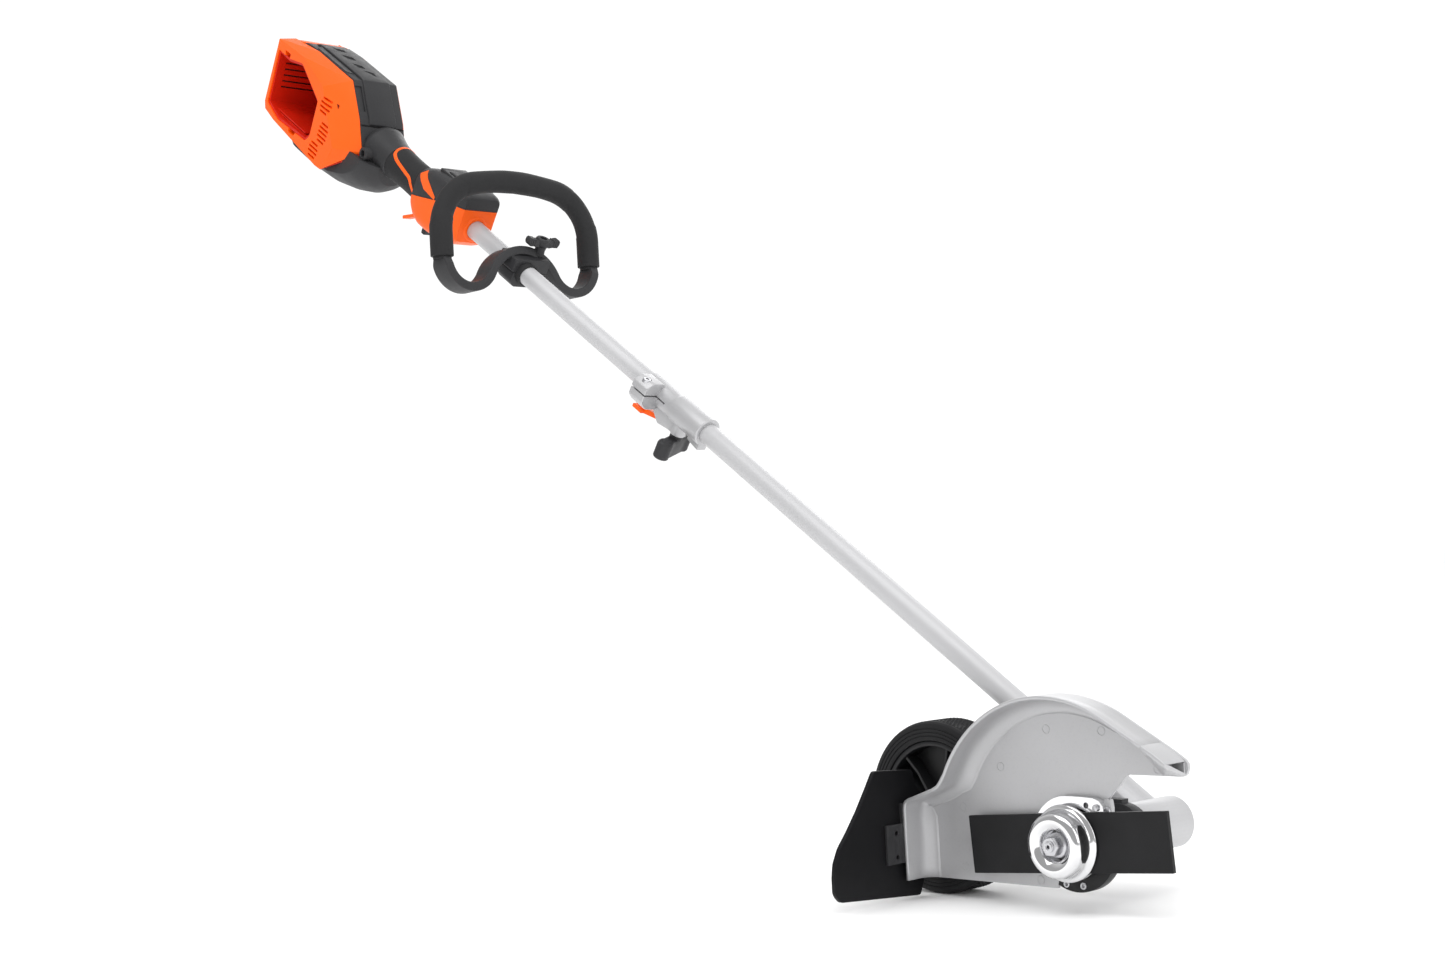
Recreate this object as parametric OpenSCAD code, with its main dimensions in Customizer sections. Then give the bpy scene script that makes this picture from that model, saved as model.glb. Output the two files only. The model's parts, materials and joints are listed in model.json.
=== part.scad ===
// Battery lawn edger with a split shaft: powerhead, loop handle, coupling and edger head.
// Frame: +X is the walking direction, +Z is up, and Z = 0 is the ground under the wheel.
// The edger head is built around the arbor, and everything on the shaft is built around
// the tube axis, which meets the arbor axis inside the gear housing.

/* [Stance] */
// Angle of the tube above the ground
tube_angle = 35.4; // [30:0.1:42]
// Height of the arbor above the ground
arbor_height = 61; // [55:0.5:70]
// Arbor ahead of the frame origin
arbor_forward = 626; // [600:1:650]
// Blade face to the side of the frame origin
arbor_side = -77; // [-90:1:-60]
// Tube axis beside the blade face
tube_side = 130; // [126:1:140]

/* [Tubes and shafts] */
// Outside diameter of both tubes
tube_d = 24; // [24:0.5:26]
// Wall thickness of both tubes
tube_wall = 1.5; // [1:0.1:2]
// Distance along the tube axis where the lower tube starts
lower_tube_start = 50; // [48:1:60]
// Distance along the tube axis where the lower tube ends
lower_tube_end = 762; // [755:1:764]
// Distance along the tube axis where the upper tube starts
upper_tube_start = 768; // [766:1:775]
// Distance along the tube axis where the upper tube ends
upper_tube_end = 1440; // [1430:1:1445]
// Diameter of the drive shaft
shaft_d = 8; // [8:0.5:9]

/* [Blade and arbor] */
// Length of the blade
blade_length = 215; // [200:1:230]
// Width of the blade
blade_width = 51.5; // [48:0.5:56]
// Thickness of the blade
blade_thickness = 4; // [3:0.5:4]
// Angle at which the free blade rests
blade_tilt = 3.8; // [0:0.1:8]
// Diameter of the arbor
arbor_d = 12; // [12:0.5:14]
// Depth of the chrome cup in front of the blade
cup_depth = 21.5; // [18:0.5:24]

/* [Bevel gears] */
// Teeth on the arbor gear
gear_teeth = 20; // [18:1:24]
// Teeth on the shaft pinion
pinion_teeth = 13; // [12:1:14]
// Size of the teeth at their large end
gear_module = 1.5; // [1.4:0.05:1.5]

/* [Guard] */
// Radius of the round top of the guard
guard_r = 128.5; // [124:0.5:132]
// Centre of the round top behind the arbor
guard_back = 8; // [4:0.5:10]
// Thickness of the cast wall
guard_wall = 3.5; // [3:0.25:4]
// Near edge of the rim in front of the blade face
rim_near = 17; // [15:0.5:20]
// Near face of the back plate behind the blade face
plate_near = 12; // [12:0.5:13]
// Rear wall behind the arbor
rear_wall_back = 174; // [170:1:176]
// Lowest edge of the guard below the arbor
guard_drop = 42; // [38:1:44]

/* [Wheel] */
// Outside radius of the tyre
wheel_r = 80.5; // [76:0.5:82]
// Width of the tyre
wheel_width = 44; // [38:1:46]
// Wheel axle behind the arbor
wheel_back = 175; // [172:1:178]
// Wheel axle above the arbor
wheel_up = 19.5; // [15:0.5:21]
// Near face of the wheel behind the blade face
wheel_near = 27; // [26:0.5:30]

/* [Loop handle] */
// Distance along the tube axis of the handle
handle_at = 1100; // [1060:1:1120]
// Diameter of the rubber grip on the loop
loop_grip_d = 28; // [26:1:30]
// Width of the bow inside the grip
loop_rod_d = 16; // [14:1:18]
// Thickness of the bow inside the grip
bow_thick = 12; // [10:1:14]
// Width of the flat strap below the grips
strap_width = 30; // [24:1:32]
// Thickness of the flat strap
strap_thick = 11; // [9:0.5:12]

/* [Powerhead] */
// Half the width over both orange shells
shell_half = 55; // [52:1:58]
// Half the width of the black middle
core_half = 34; // [32:1:36]
// Radius of the rear grip
grip_r = 24; // [22:0.5:25]
// Radius of the motor's rotor
rotor_r = 30; // [26:1:31]

/* [Hidden] */

$fn = 64;
eps = 0.01;
run_gap = 0.05;
tube_r = tube_d / 2;
tube_bore_r = tube_r - tube_wall;
shaft_r = shaft_d / 2;
arbor_r = arbor_d / 2;
blade_back = blade_thickness;
disc_back = 11;
plate_back = plate_near + guard_wall;

/* ---- Frames ---- */

// Origin on the arbor axis in the blade's near face
module head_frame() {
    translate([arbor_forward, arbor_side, arbor_height]) children();
}

// Local Z runs up the tube, local X points up and forward, local Y to the operator's left
module tube_frame() {
    translate([arbor_forward, arbor_side + tube_side, arbor_height])
        rotate([0, tube_angle - 90, 0])
            children();
}

// A solid turned about the arbor axis, with its local Z along the arbor from y0
module along_arbor(y0) {
    translate([0, y0, 0]) rotate([-90, 0, 0]) children();
}

// An outline in (x, z) of the head frame, from y0 to y1
module side_plate(y0, y1) {
    translate([0, y1, 0]) rotate([90, 0, 0]) linear_extrude(y1 - y0) children();
}

// A ring or tube about the local Z axis
module ring(r_out, r_in, length) {
    difference() {
        cylinder(r = r_out, h = length);
        translate([0, 0, -1]) cylinder(r = r_in, h = length + 2);
    }
}

// A rectangle with round corners made of true arcs
module rounded_rect(size, r) {
    translate([r, 0]) square([size[0] - 2 * r, size[1]]);
    translate([0, r]) square([size[0], size[1] - 2 * r]);
    for (x = [r, size[0] - r], y = [r, size[1] - r])
        translate([x, y]) circle(r);
}

/* ---- Powerhead shells ---- */

// Side profiles are lists of [height above the tube axis, distance along the tube]
cheek_profile = [[54, 1672], [57, 1600], [42, 1538], [-20, 1475], [-57, 1490], [-58, 1503],
    [-49, 1631], [-44, 1659], [-35, 1665]];
core_profile = [[60, 1665], [68, 1600], [67, 1505], [30, 1465], [3, 1445], [-6, 1437],
    [-42, 1480], [-54, 1520], [-49, 1631], [-44, 1659], [-38, 1667]];
liner_profile = [[41, 1666], [-34, 1658], [-44, 1623], [-40, 1543], [-30, 1535], [20, 1539],
    [48, 1600], [40, 1637]];
bay_profile = [[38, 1662.5], [-31, 1655], [-40.5, 1622], [-37, 1546], [-28.5, 1538.5],
    [18, 1542.5], [44.5, 1600], [37, 1634]];
shell_wall = 5;
bay_depth = 96;
bay_open = -53;
motor_from = 1474;
motor_to = 1512;
slot_pitch = 8.3;
vent_pitch = 6;

// A slab across the tube, from one side profile
module cross_slab(points, y0, y1) {
    translate([0, y1, 0]) rotate([90, 0, 0]) linear_extrude(y1 - y0) polygon(points);
}

module motor_space() {
    translate([0, 0, motor_from - 10]) cylinder(r = rotor_r + 5, h = motor_to - motor_from + 16);
}

// Groups of short cooling slots in the side face ahead of the battery opening
module vent_slots() {
    for (group = [[30, 1520, 4], [-1, 1507, 5], [-33, 1518, 4]])
        for (i = [0 : group[2] - 1])
            translate([group[0] - i * vent_pitch, -shell_half - 1, group[1]])
                cube([2.6, 5, 24], center = true);
}

module cheek(bay_from) {
    difference() {
        hull() {
            cross_slab(core_profile, -core_half - 1, -core_half);
            cross_slab(cheek_profile, -shell_half, -shell_half + 1);
        }
        cross_slab(liner_profile, bay_from, -core_half + 1);
        motor_space();
        belly_solid();
    }
}

module shell_left() {
    color("orangered") tube_frame() difference() {
        cheek(-shell_half - 1);
        vent_slots();
    }
}

module shell_right() {
    color("orangered") tube_frame() mirror([0, 1, 0]) cheek(-shell_half + shell_wall);
}

module bay_liner() {
    color("firebrick") tube_frame() difference() {
        cross_slab(liner_profile, bay_open, bay_open + bay_depth + 3);
        cross_slab(bay_profile, bay_open - 1, bay_open + bay_depth);
        for (i = [0 : 4])
            translate([24 - i * slot_pitch, -8, 1660]) cube([2.5, 66, 24], center = true);
    }
}

module battery_contacts() {
    color("dimgray") tube_frame() {
        translate([-36, 15, 1585]) cube([12, bay_open + bay_depth - 15, 36]);
        for (i = [0 : 3])
            translate([-24, 20, 1590 + i * 8]) cube([8, 18, 1.5]);
    }
}

// Black strap over the top and down the front
strap_profile = [[64, 1648], [69, 1600], [69, 1504], [31, 1463.5], [24, 1458.5], [24, 1466],
    [30, 1470.5], [62, 1508], [62, 1600], [60, 1648]];

module top_cover() {
    color("dimgray") tube_frame() cross_slab(strap_profile, -core_half, core_half);
}

module badge_plate() {
    color("gray") tube_frame()
        translate([69, -17, 1522]) cube([3, 36, 74]);
}

belly_top = -12;

// Round bottom of the motor housing
module belly_solid() {
    intersection() {
        translate([-12, 0, 0]) rotate_extrude()
            polygon([[0, 1402], [24, 1404], [36, 1414], [46, 1430], [55, 1455], [63, 1490],
                [67, 1535], [67, 1585], [62, 1597], [0, 1597]]);
        translate([-100, -43, 1395]) cube([belly_top + 100, 86, 210]);
    }
}

module motor_housing() {
    color("dimgray") tube_frame() difference() {
        union() {
            rotate_extrude()
                polygon([[0, 1396], [24, 1396], [25, 1408], [28, 1424], [32, 1438], [30, 1446],
                    [0, 1446]]);
            belly_solid();
            cross_slab([[24, 1458.5], [3, 1443], [-6, 1437], [-42, 1480], [-40, 1532], [20, 1532],
                [24, 1525]], -core_half, core_half);
            harness_boss();
        }
        cross_slab(liner_profile, -60, 60);
        cross_slab(strap_profile, -60, 60);
        motor_space();
        translate([0, 0, 1390]) cylinder(r = tube_r, h = upper_tube_end - 1390);
        cylinder(r = shaft_r + 2, h = 1600);
        controller_space();
        harness_bore();
    }
}

harness_at = [-5, 1430.5];
harness_r = 4.5;
harness_face = -37;
harness_deep = 12;

module harness_boss() {
    translate([harness_at[0], harness_face, harness_at[1]]) rotate([-90, 0, 0]) cylinder(r = 9, h = 20);
}

module harness_bore() {
    translate([harness_at[0], harness_face - 1, harness_at[1]])
        rotate([-90, 0, 0]) cylinder(r = harness_r, h = harness_deep + 1);
}

module controller_space() {
    translate([-68, -29, 1500]) cube([20, 58, 84]);
}

module controller() {
    color("darkgreen") tube_frame() translate([-68, -29, 1500]) union() {
        cube([20, 58, 6]);
        translate([4, 4, 6]) cube([12, 50, 70]);
        for (i = [0 : 5]) translate([0, 5 + i * 9, 6]) cube([4, 3, 70]);
    }
}

/* ---- Motor and upper drive ---- */

module motor_flange() {
    color("silver") tube_frame() translate([0, 0, motor_from - 5])
        ring(rotor_r - 2.5, shaft_r + 1, 3);
}

module motor_stator() {
    slots = 12;
    stator_r = 15;
    tooth_wide = 4.8;
    color("peru") tube_frame() translate([0, 0, motor_from + 2]) {
        linear_extrude(26) difference() {
            union() {
                circle(stator_r);
                for (i = [0 : slots - 1])
                    rotate(i * 360 / slots) translate([0, -tooth_wide / 2])
                        square([rotor_r - 5, tooth_wide]);
            }
            circle(shaft_r + 1);
        }
        translate([0, 0, -4]) ring(9, shaft_r + 1, 6);
    }
}

module motor_rotor() {
    color("silver") tube_frame() translate([0, 0, motor_from]) difference() {
        cylinder(r = rotor_r, h = motor_to - motor_from);
        translate([0, 0, -1]) cylinder(r = rotor_r - 3.5, h = 34);
        translate([0, 0, -1]) cylinder(r = shaft_r, h = 60);
        for (i = [0 : 5])
            rotate([0, 0, i * 60]) translate([17, 0, 30]) cylinder(r = 5, h = 12);
    }
}

module upper_tube() {
    color("gainsboro") tube_frame() translate([0, 0, upper_tube_start])
        ring(tube_r, tube_bore_r, upper_tube_end - upper_tube_start);
}

square_drive = 6;
socket_gap = 0.3;
drive_from = 737;
drive_to = 759;

module upper_shaft() {
    color("silver") tube_frame() difference() {
        union() {
            translate([0, 0, drive_from]) cylinder(r = 7, h = 45);
            translate([0, 0, drive_from + 10]) cylinder(r = shaft_r, h = motor_to + 4 - drive_from - 10);
        }
        translate([0, 0, drive_from - 1]) linear_extrude(drive_to - drive_from + 2)
            square(square_drive + 2 * socket_gap, center = true);
    }
}

// Bushes that hold the shaft in the middle of a tube
module bushes(places, length) {
    for (s = places)
        translate([0, 0, s]) ring(tube_bore_r, shaft_r + run_gap, length);
}

module upper_bushes() {
    color("ivory") tube_frame() bushes([830, 1020, 1210, 1400], 24);
}

/* ---- Rear grip ---- */

grip_from = 1318;
grip_to = 1396;
inlay_w = 3.4;

module inlay_bands(extra) {
    for (side = [-1, 1])
        translate([-4, side * (grip_r - 1.6), grip_from + 10])
            rotate([0, -8, 0])
                translate([0, -4 - extra, 0]) cube([inlay_w, 8 + 2 * extra, grip_to - grip_from - 10]);
    translate([0, 0, grip_to - 5]) ring(grip_r + 0.4 + extra, grip_r - 2, 5);
}

module rear_grip() {
    color("dimgray") tube_frame() difference() {
        translate([0, 0, grip_from]) ring(grip_r, tube_r, grip_to - grip_from);
        inlay_bands(0);
    }
}

module grip_inlay() {
    color("orangered") tube_frame() intersection() {
        inlay_bands(0);
        translate([0, 0, grip_from]) ring(grip_r + 0.4, grip_r - 6, grip_to - grip_from);
    }
}

/* ---- Control housing ---- */

control_half = 31;
upper_profile = [[28, 1318], [41, 1286], [46, 1215], [43, 1203], [4, 1203], [-12, 1318]];
lower_profile = [[4, 1203], [-12, 1318], [-30, 1316], [-38, 1292], [-36, 1240], [-19, 1203]];
lever_pocket = [[-15, 1283], [-15, 1320], [-45, 1320], [-45, 1283]];

module control_section() {
    translate([-42, -control_half, 1195]) linear_extrude(130)
        rounded_rect([96, 2 * control_half], 17);
}

module tube_hole() {
    translate([0, 0, 1190]) cylinder(r = tube_r, h = 140);
}

module control_upper() {
    color("dimgray") tube_frame() difference() {
        intersection() {
            cross_slab(upper_profile, -control_half, control_half);
            control_section();
        }
        tube_hole();
        translate([39, -19, 1222]) cube([20, 38, 62]);
    }
}

module control_lower() {
    color("orangered") tube_frame() difference() {
        intersection() {
            cross_slab(lower_profile, -control_half, control_half);
            control_section();
        }
        tube_hole();
        cross_slab(lever_pocket, -15, 15);
    }
}

module key_holes(grow) {
    for (s = [1234, 1256])
        translate([41, -14 - grow, s - grow]) cube([12, 28 + 2 * grow, 16 + 2 * grow]);
}

module keypad() {
    color("black") tube_frame() difference() {
        translate([39, -19, 1222]) cube([7, 38, 62]);
        key_holes(0.4);
    }
}

module key(s) {
    tube_frame() translate([42.5, -14, s]) cube([5, 28, 16]);
}

module power_button() {
    color("gray") key(1234);
}

module mode_button() {
    color("gray") key(1256);
}

trigger_pivot = [-20, 1296];
lockout_pivot = [-27, 1304];
pin_r = 2;

module lever_pins() {
    color("silver") tube_frame() {
        translate([trigger_pivot[0], -15, trigger_pivot[1]])
            rotate([-90, 0, 0]) cylinder(r = pin_r, h = 30);
        translate([lockout_pivot[0], -15, lockout_pivot[1]])
            rotate([-90, 0, 0]) cylinder(r = pin_r, h = 15);
    }
}

module pin_hole(p) {
    translate([p[0], -20, p[1]]) rotate([-90, 0, 0]) cylinder(r = pin_r + run_gap, h = 40);
}

module trigger() {
    color("black") tube_frame() difference() {
        union() {
            translate([trigger_pivot[0], 1, trigger_pivot[1]])
                rotate([-90, 0, 0]) cylinder(r = 4.5, h = 11);
            cross_slab([[-20, 1291.5], [-57, 1301], [-57, 1309], [-40, 1309], [-22, 1300.5]], 1, 12);
        }
        pin_hole(trigger_pivot);
    }
}

module lockout_lever() {
    color("orangered") tube_frame() difference() {
        union() {
            translate([lockout_pivot[0], -13, lockout_pivot[1]])
                rotate([-90, 0, 0]) cylinder(r = 4, h = 12);
            cross_slab([[-25, 1301], [-48, 1339], [-52, 1337], [-31, 1303]], -13, -1);
        }
        pin_hole(lockout_pivot);
    }
}

/* ---- Coupling between the tubes ---- */

socket_from = 697;
socket_to = 764;
clamp_to = 808;
socket_clearance = 0.08;
knob_s = 741;
knob_n = -41;
knob_stud_r = 3;

module coupling_body() {
    color("lightgray") tube_frame() difference() {
        union() {
            translate([0, 0, socket_from]) cylinder(r = 16.8, h = 56);
            translate([0, 0, socket_from + 50]) cylinder(r = 15.4, h = clamp_to - socket_from - 50);
            // Clamp ears beside the upper tube
            translate([-18, -33, 779]) cube([34, 30, 26]);
            // Web below the socket that carries the knob and the latch
            cross_slab([[-6, 742], [-27, 734], [-27, 752], [-30, 771], [-10, 800]], -7, 7);
            translate([-26, 0, knob_s]) rotate([0, 90, 0]) cylinder(r = 8, h = 14);
            // Stop boss at the socket mouth
            translate([-23, -6, 697]) cube([10, 12, 22]);
        }
        translate([0, 0, socket_from - 1])
            cylinder(r = tube_r + socket_clearance, h = socket_to - socket_from + 1);
        translate([0, 0, socket_to - 1]) cylinder(r = tube_r, h = 60);
        // Slit of the upper clamp, with its screw hole
        translate([-1, -60, 760]) cube([2, 60, 60]);
        coupling_screw_hole();
        translate([-40, 0, knob_s]) rotate([0, 90, 0]) cylinder(r = knob_stud_r + run_gap, h = 40);
        latch_slot();
    }
}

module coupling_screw_hole() {
    translate([-19, -25, 792]) rotate([0, 90, 0]) cylinder(r = 3, h = 40);
    translate([11, -25, 792]) rotate([0, 90, 0]) cylinder(r = 5.2, h = 10);
}

module coupling_screw() {
    color("silver") tube_frame() difference() {
        union() {
            translate([-16, -25, 792]) rotate([0, 90, 0]) cylinder(r = 3, h = 28);
            translate([11, -25, 792]) rotate([0, 90, 0]) cylinder(r = 5, h = 4.5);
        }
        translate([13, -25, 792]) rotate([0, 90, 0]) cylinder(r = 2.5, h = 4, $fn = 6);
    }
}

latch_pivot = [-24, 776];

module latch_slot() {
    translate([-36, -4, 766]) cube([22, 8, 40]);
}

module coupling_latch() {
    color("orangered") tube_frame() difference() {
        union() {
            cross_slab([[-20, 771], [-27, 771], [-34, 800], [-34, 817], [-30, 817], [-24, 782],
                [-20, 780]], -3.6, 3.6);
            translate([-34, -8, 800]) cube([4, 16, 17]);
        }
        translate([latch_pivot[0], -5, latch_pivot[1]])
            rotate([-90, 0, 0]) cylinder(r = 1.5 + run_gap, h = 10);
    }
}

module coupling_knob() {
    color("dimgray") tube_frame() translate([knob_n, 0, knob_s]) union() {
        difference() {
            rotate([25, 0, 0]) rotate([0, 90, 0]) translate([0, 0, -12]) linear_extrude(22) {
                square([50, 11], center = true);
                for (x = [-25, 25]) translate([x, 0]) circle(9);
            }
            rotate([25, 0, 0]) translate([-2, 0, 0])
                rotate([90, 0, 0]) cylinder(r = 4.5, h = 40, center = true);
        }
        translate([9, 0, 0]) rotate([0, 90, 0]) cylinder(r = knob_stud_r, h = 17);
    }
}

/* ---- Lower shaft ---- */

module lower_tube() {
    color("gainsboro") tube_frame() translate([0, 0, lower_tube_start])
        ring(tube_r, tube_bore_r, lower_tube_end - lower_tube_start);
}

module lower_shaft() {
    color("silver") tube_frame() union() {
        translate([0, 0, 24]) cylinder(r = shaft_r, h = drive_from - 3 - 24);
        translate([-square_drive / 2, -square_drive / 2, drive_from - 3])
            cube([square_drive, square_drive, drive_to - drive_from]);
    }
}

module lower_bushes() {
    color("ivory") tube_frame() bushes([110, 300, 490, 680], 24);
}

/* ---- Loop handle ---- */

sleeve_wall = 2;
sleeve_len = 50;
clamp_bore = tube_r + sleeve_wall + 0.08;
clamp_half = 16;
knob_side = 24;
knob_base = 18;
side_x = 113;
lobe_c = [79, 4];
lobe_r = 34;
hump_top = 19;
// Radius of the hump that meets both lobes smoothly, and its centre
hump_r = (pow(lobe_c[0], 2) + pow(lobe_c[1] - hump_top, 2) - pow(lobe_r, 2))
    / (2 * (lobe_r + hump_top - lobe_c[1]));
hump_y = hump_top - hump_r;
join_a = atan2(lobe_c[1] - hump_y, lobe_c[0]);
shoulder_c = [51, 38];
shoulder_r = 62;
top_y = 105;
// Radius of the flat arc over the top that meets both shoulders smoothly, and its centre
arch_r = (pow(shoulder_c[0], 2) + pow(top_y - shoulder_c[1], 2) - pow(shoulder_r, 2))
    / (2 * (top_y - shoulder_c[1] - shoulder_r));
arch_y = top_y - arch_r;
arch_a = atan2(shoulder_c[0], shoulder_c[1] - arch_y);

// Local X across the handle, local Y up it, local Z ahead; the loop stands upright
module loop_frame_axes() {
    tube_frame() translate([0, 0, handle_at]) rotate([0, 90 - tube_angle, 0])
        rotate([90, 0, 90]) children();
}

// A four-sided outline that keeps angles a0 to a1 of a disc, both within one half turn
module wedge(a0, a1, r) {
    am = (a0 + a1) / 2;
    polygon([[0, 0], r * [cos(a0), sin(a0)], 1.5 * r * [cos(am), sin(am)], r * [cos(a1), sin(a1)]]);
}

// Part of a flat ring, from angle a0 to a1
module ring_part(c, r, thick, a0, a1) {
    translate(c) intersection() {
        difference() {
            circle(r + thick / 2, $fn = 128);
            circle(r - thick / 2, $fn = 128);
        }
        wedge(a0, a1, 2 * r);
    }
}

// The upper bow of the loop as a flat outline of the given thickness
module bow_outline(thick) {
    for (side = [0, 1]) mirror([side, 0]) {
        translate([side_x - thick / 2, lobe_c[1] - 0.5])
            square([thick, shoulder_c[1] - lobe_c[1] + 1]);
        ring_part(shoulder_c, shoulder_r, thick, -0.5, 90 - arch_a + 0.5);
    }
    ring_part([0, arch_y], arch_r, thick, 90 - arch_a, 90 + arch_a);
}

module strap_outline() {
    for (side = [0, 1]) mirror([side, 0]) {
        ring_part(lobe_c, lobe_r, strap_thick, -90, 1);
        ring_part(lobe_c, lobe_r, strap_thick, -180 + join_a, -89);
    }
    ring_part([0, hump_y], hump_r, strap_thick, join_a - 0.5, 180.5 - join_a);
}

module tube_cut(r, half) {
    tube_frame() translate([0, 0, handle_at - half]) cylinder(r = r, h = 2 * half);
}

module loop_frame() {
    color("dimgray") difference() {
        union() {
            loop_frame_axes() {
                translate([0, 0, -loop_rod_d / 2]) linear_extrude(loop_rod_d) bow_outline(bow_thick);
                translate([0, 0, -strap_width / 2]) linear_extrude(strap_width) strap_outline();
            }
            tube_frame() translate([1, -20, handle_at - clamp_half])
                cube([knob_base - 1.5, 54, 2 * clamp_half]);
        }
        tube_cut(clamp_bore, 60);
        tube_frame() translate([-60, -18, handle_at - 60]) cube([61, 36, 120]);
        tube_frame() translate([-60, 10, handle_at - clamp_half - 1])
            cube([61, 30, 2 * clamp_half + 2]);
        tube_frame() translate([-30, knob_side, handle_at])
            rotate([0, 90, 0]) cylinder(r = 3 + run_gap, h = 80);
        tube_frame() translate([knob_base - 0.5, knob_side, handle_at])
            rotate([0, 90, 0]) cylinder(r = 8, h = 40);
    }
}

module loop_grip() {
    color("black") difference() {
        loop_frame_axes() translate([0, 0, -loop_grip_d / 2])
            linear_extrude(loop_grip_d) bow_outline(loop_grip_d);
        loop_frame_axes() translate([0, 0, -loop_rod_d / 2])
            linear_extrude(loop_rod_d) bow_outline(bow_thick);
        loop_frame_axes() translate([-150, -40, -40]) cube([300, 40 + lobe_c[1] + 1.5, 80]);
    }
}

module handle_clamp() {
    color("dimgray") difference() {
        tube_frame() translate([-20, -17, handle_at - clamp_half]) cube([20, 50, 2 * clamp_half]);
        tube_cut(clamp_bore, 60);
        tube_frame() translate([-30, knob_side, handle_at])
            rotate([0, 90, 0]) cylinder(r = 3 + run_gap, h = 80);
    }
}

module handle_sleeve() {
    color("black") tube_frame() translate([0, 0, handle_at - sleeve_len / 2])
        ring(tube_r + sleeve_wall, tube_r + run_gap, sleeve_len);
}

module handle_knob() {
    color("dimgray") tube_frame() translate([0, knob_side, handle_at]) union() {
        translate([-22, 0, 0]) rotate([0, 90, 0]) cylinder(r = 3, h = 44);
        translate([knob_base, 0, 0]) rotate([0, 90, 0]) cylinder(r = 7, h = 15);
        for (side = [-1, 1])
            translate([knob_base + 18, side * 15, 0]) cube([12, 18, 11], center = true);
        translate([knob_base + 16, 0, 0]) cube([6, 22, 11], center = true);
    }
}

/* ---- Gear housing ---- */

neck_r = 17.5;
flange_r = 36;
flange_thick = 5;
box_r = 23.5;
box_from = 92;
box_to = tube_side + 27;
socket_r = 18;
arbor_bearing_r = 14;
pinion_bearing_r = 11;

module gear_housing() {
    color("lightgray") difference() {
        union() {
            head_frame() along_arbor(plate_back) cylinder(r = flange_r, h = flange_thick);
            head_frame() along_arbor(plate_back) cylinder(r = neck_r, h = box_from - plate_back);
            head_frame() along_arbor(box_from) cylinder(r = box_r, h = box_to - box_from);
            tube_frame() cylinder(r = socket_r, h = 84);
            tube_frame() translate([-20, -6, 54]) cube([40, 12, 22]);
        }
        // Bearing seats, arbor passage and gear space
        head_frame() along_arbor(plate_near) cylinder(r = arbor_r + 1.5, h = 100);
        head_frame() along_arbor(plate_near) cylinder(r = arbor_bearing_r, h = 16.5);
        head_frame() along_arbor(96) cylinder(r = arbor_bearing_r, h = 8);
        head_frame() along_arbor(106) cylinder(r = 20, h = 36);
        // Pinion bearing seat and tube seat
        tube_frame() cylinder(r = 12, h = 22);
        tube_frame() cylinder(r = pinion_bearing_r, h = 44);
        tube_frame() translate([0, 0, 44]) cylinder(r = shaft_r + 2, h = 10);
        tube_frame() translate([0, 0, lower_tube_start]) cylinder(r = tube_r, h = 40);
        housing_screw_holes(2.5);
        guard_screw_holes(2.5);
    }
}

module housing_screw_holes(r) {
    tube_frame() for (s = [60, 70])
        translate([-17, 0, s]) rotate([0, 90, 0]) translate([0, 0, -5]) cylinder(r = r, h = 10);
}

module housing_screws() {
    color("silver") {
        housing_screw_holes(2.4);
        tube_frame() for (s = [60, 70])
            translate([-23, 0, s]) rotate([0, 90, 0]) cylinder(r = 4, h = 3);
    }
}

screw_circle = 29;

module guard_screw_holes(r) {
    head_frame() for (a = [0 : 90 : 270])
        rotate([0, a + 45, 0]) translate([screw_circle, plate_near + 1, 0])
            rotate([-90, 0, 0]) cylinder(r = r, h = 12);
}

module guard_screws() {
    color("silver") {
        guard_screw_holes(2.4);
        head_frame() for (a = [0 : 90 : 270])
            rotate([0, a + 45, 0]) translate([screw_circle, plate_back + flange_thick, 0])
                rotate([-90, 0, 0]) cylinder(r = 4, h = 4);
    }
}

/* ---- Bevel gears ---- */

gear_r = gear_module * gear_teeth / 2;
pinion_r = gear_module * pinion_teeth / 2;
cone = sqrt(gear_r * gear_r + pinion_r * pinion_r);
face_part = 0.3;
tip_rise = 0.8;
root_drop = 1.35;

// Flat gear outline with straight flanks; tip and root are heights above and below the pitch circle
module gear_outline(teeth, r, tip, root) {
    pitch_a = 360 / teeth;
    polygon([for (i = [0 : teeth - 1], k = [0 : 3])
        let (a = i * pitch_a + [-0.36, -0.13, 0.13, 0.36][k] * pitch_a,
             d = [r - root, r + tip, r + tip, r - root][k])
        d * [cos(a), sin(a)]]);
}

// Cone of teeth whose large end is at z = 0 and which shrinks towards the apex at z = apex
module bevel_teeth(teeth, r, apex, turn) {
    rotate([0, 0, turn])
        linear_extrude(height = apex * face_part, scale = 1 - face_part)
            gear_outline(teeth, r, tip_rise / (apex / cone), root_drop / (apex / cone));
}

module bevel_gear() {
    // A tooth is centred on the direction of the tube
    color("darkgray") head_frame() along_arbor(tube_side - pinion_r) difference() {
        union() {
            bevel_teeth(gear_teeth, gear_r, pinion_r, 180 + tube_angle);
            translate([0, 0, -9]) cylinder(r = 10, h = 9 + eps);
        }
        translate([0, 0, -12]) cylinder(r = arbor_r, h = 40);
    }
}

module bevel_pinion() {
    // A gap is centred on the direction of the gear
    color("darkgray") tube_frame() difference() {
        union() {
            translate([0, 0, gear_r]) mirror([0, 0, 1])
                bevel_teeth(pinion_teeth, pinion_r, gear_r, -90 + 180 / pinion_teeth);
            translate([0, 0, gear_r - eps]) cylinder(r = 7, h = 26 - gear_r);
        }
        translate([0, 0, 24]) cylinder(r = shaft_r, h = 40);
    }
}

module pinion_bearings() {
    color("silver") tube_frame() for (s = [28, 36])
        translate([0, 0, s]) ring(pinion_bearing_r, shaft_r + run_gap, 7);
}

/* ---- Arbor, blade and cup ---- */

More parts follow.
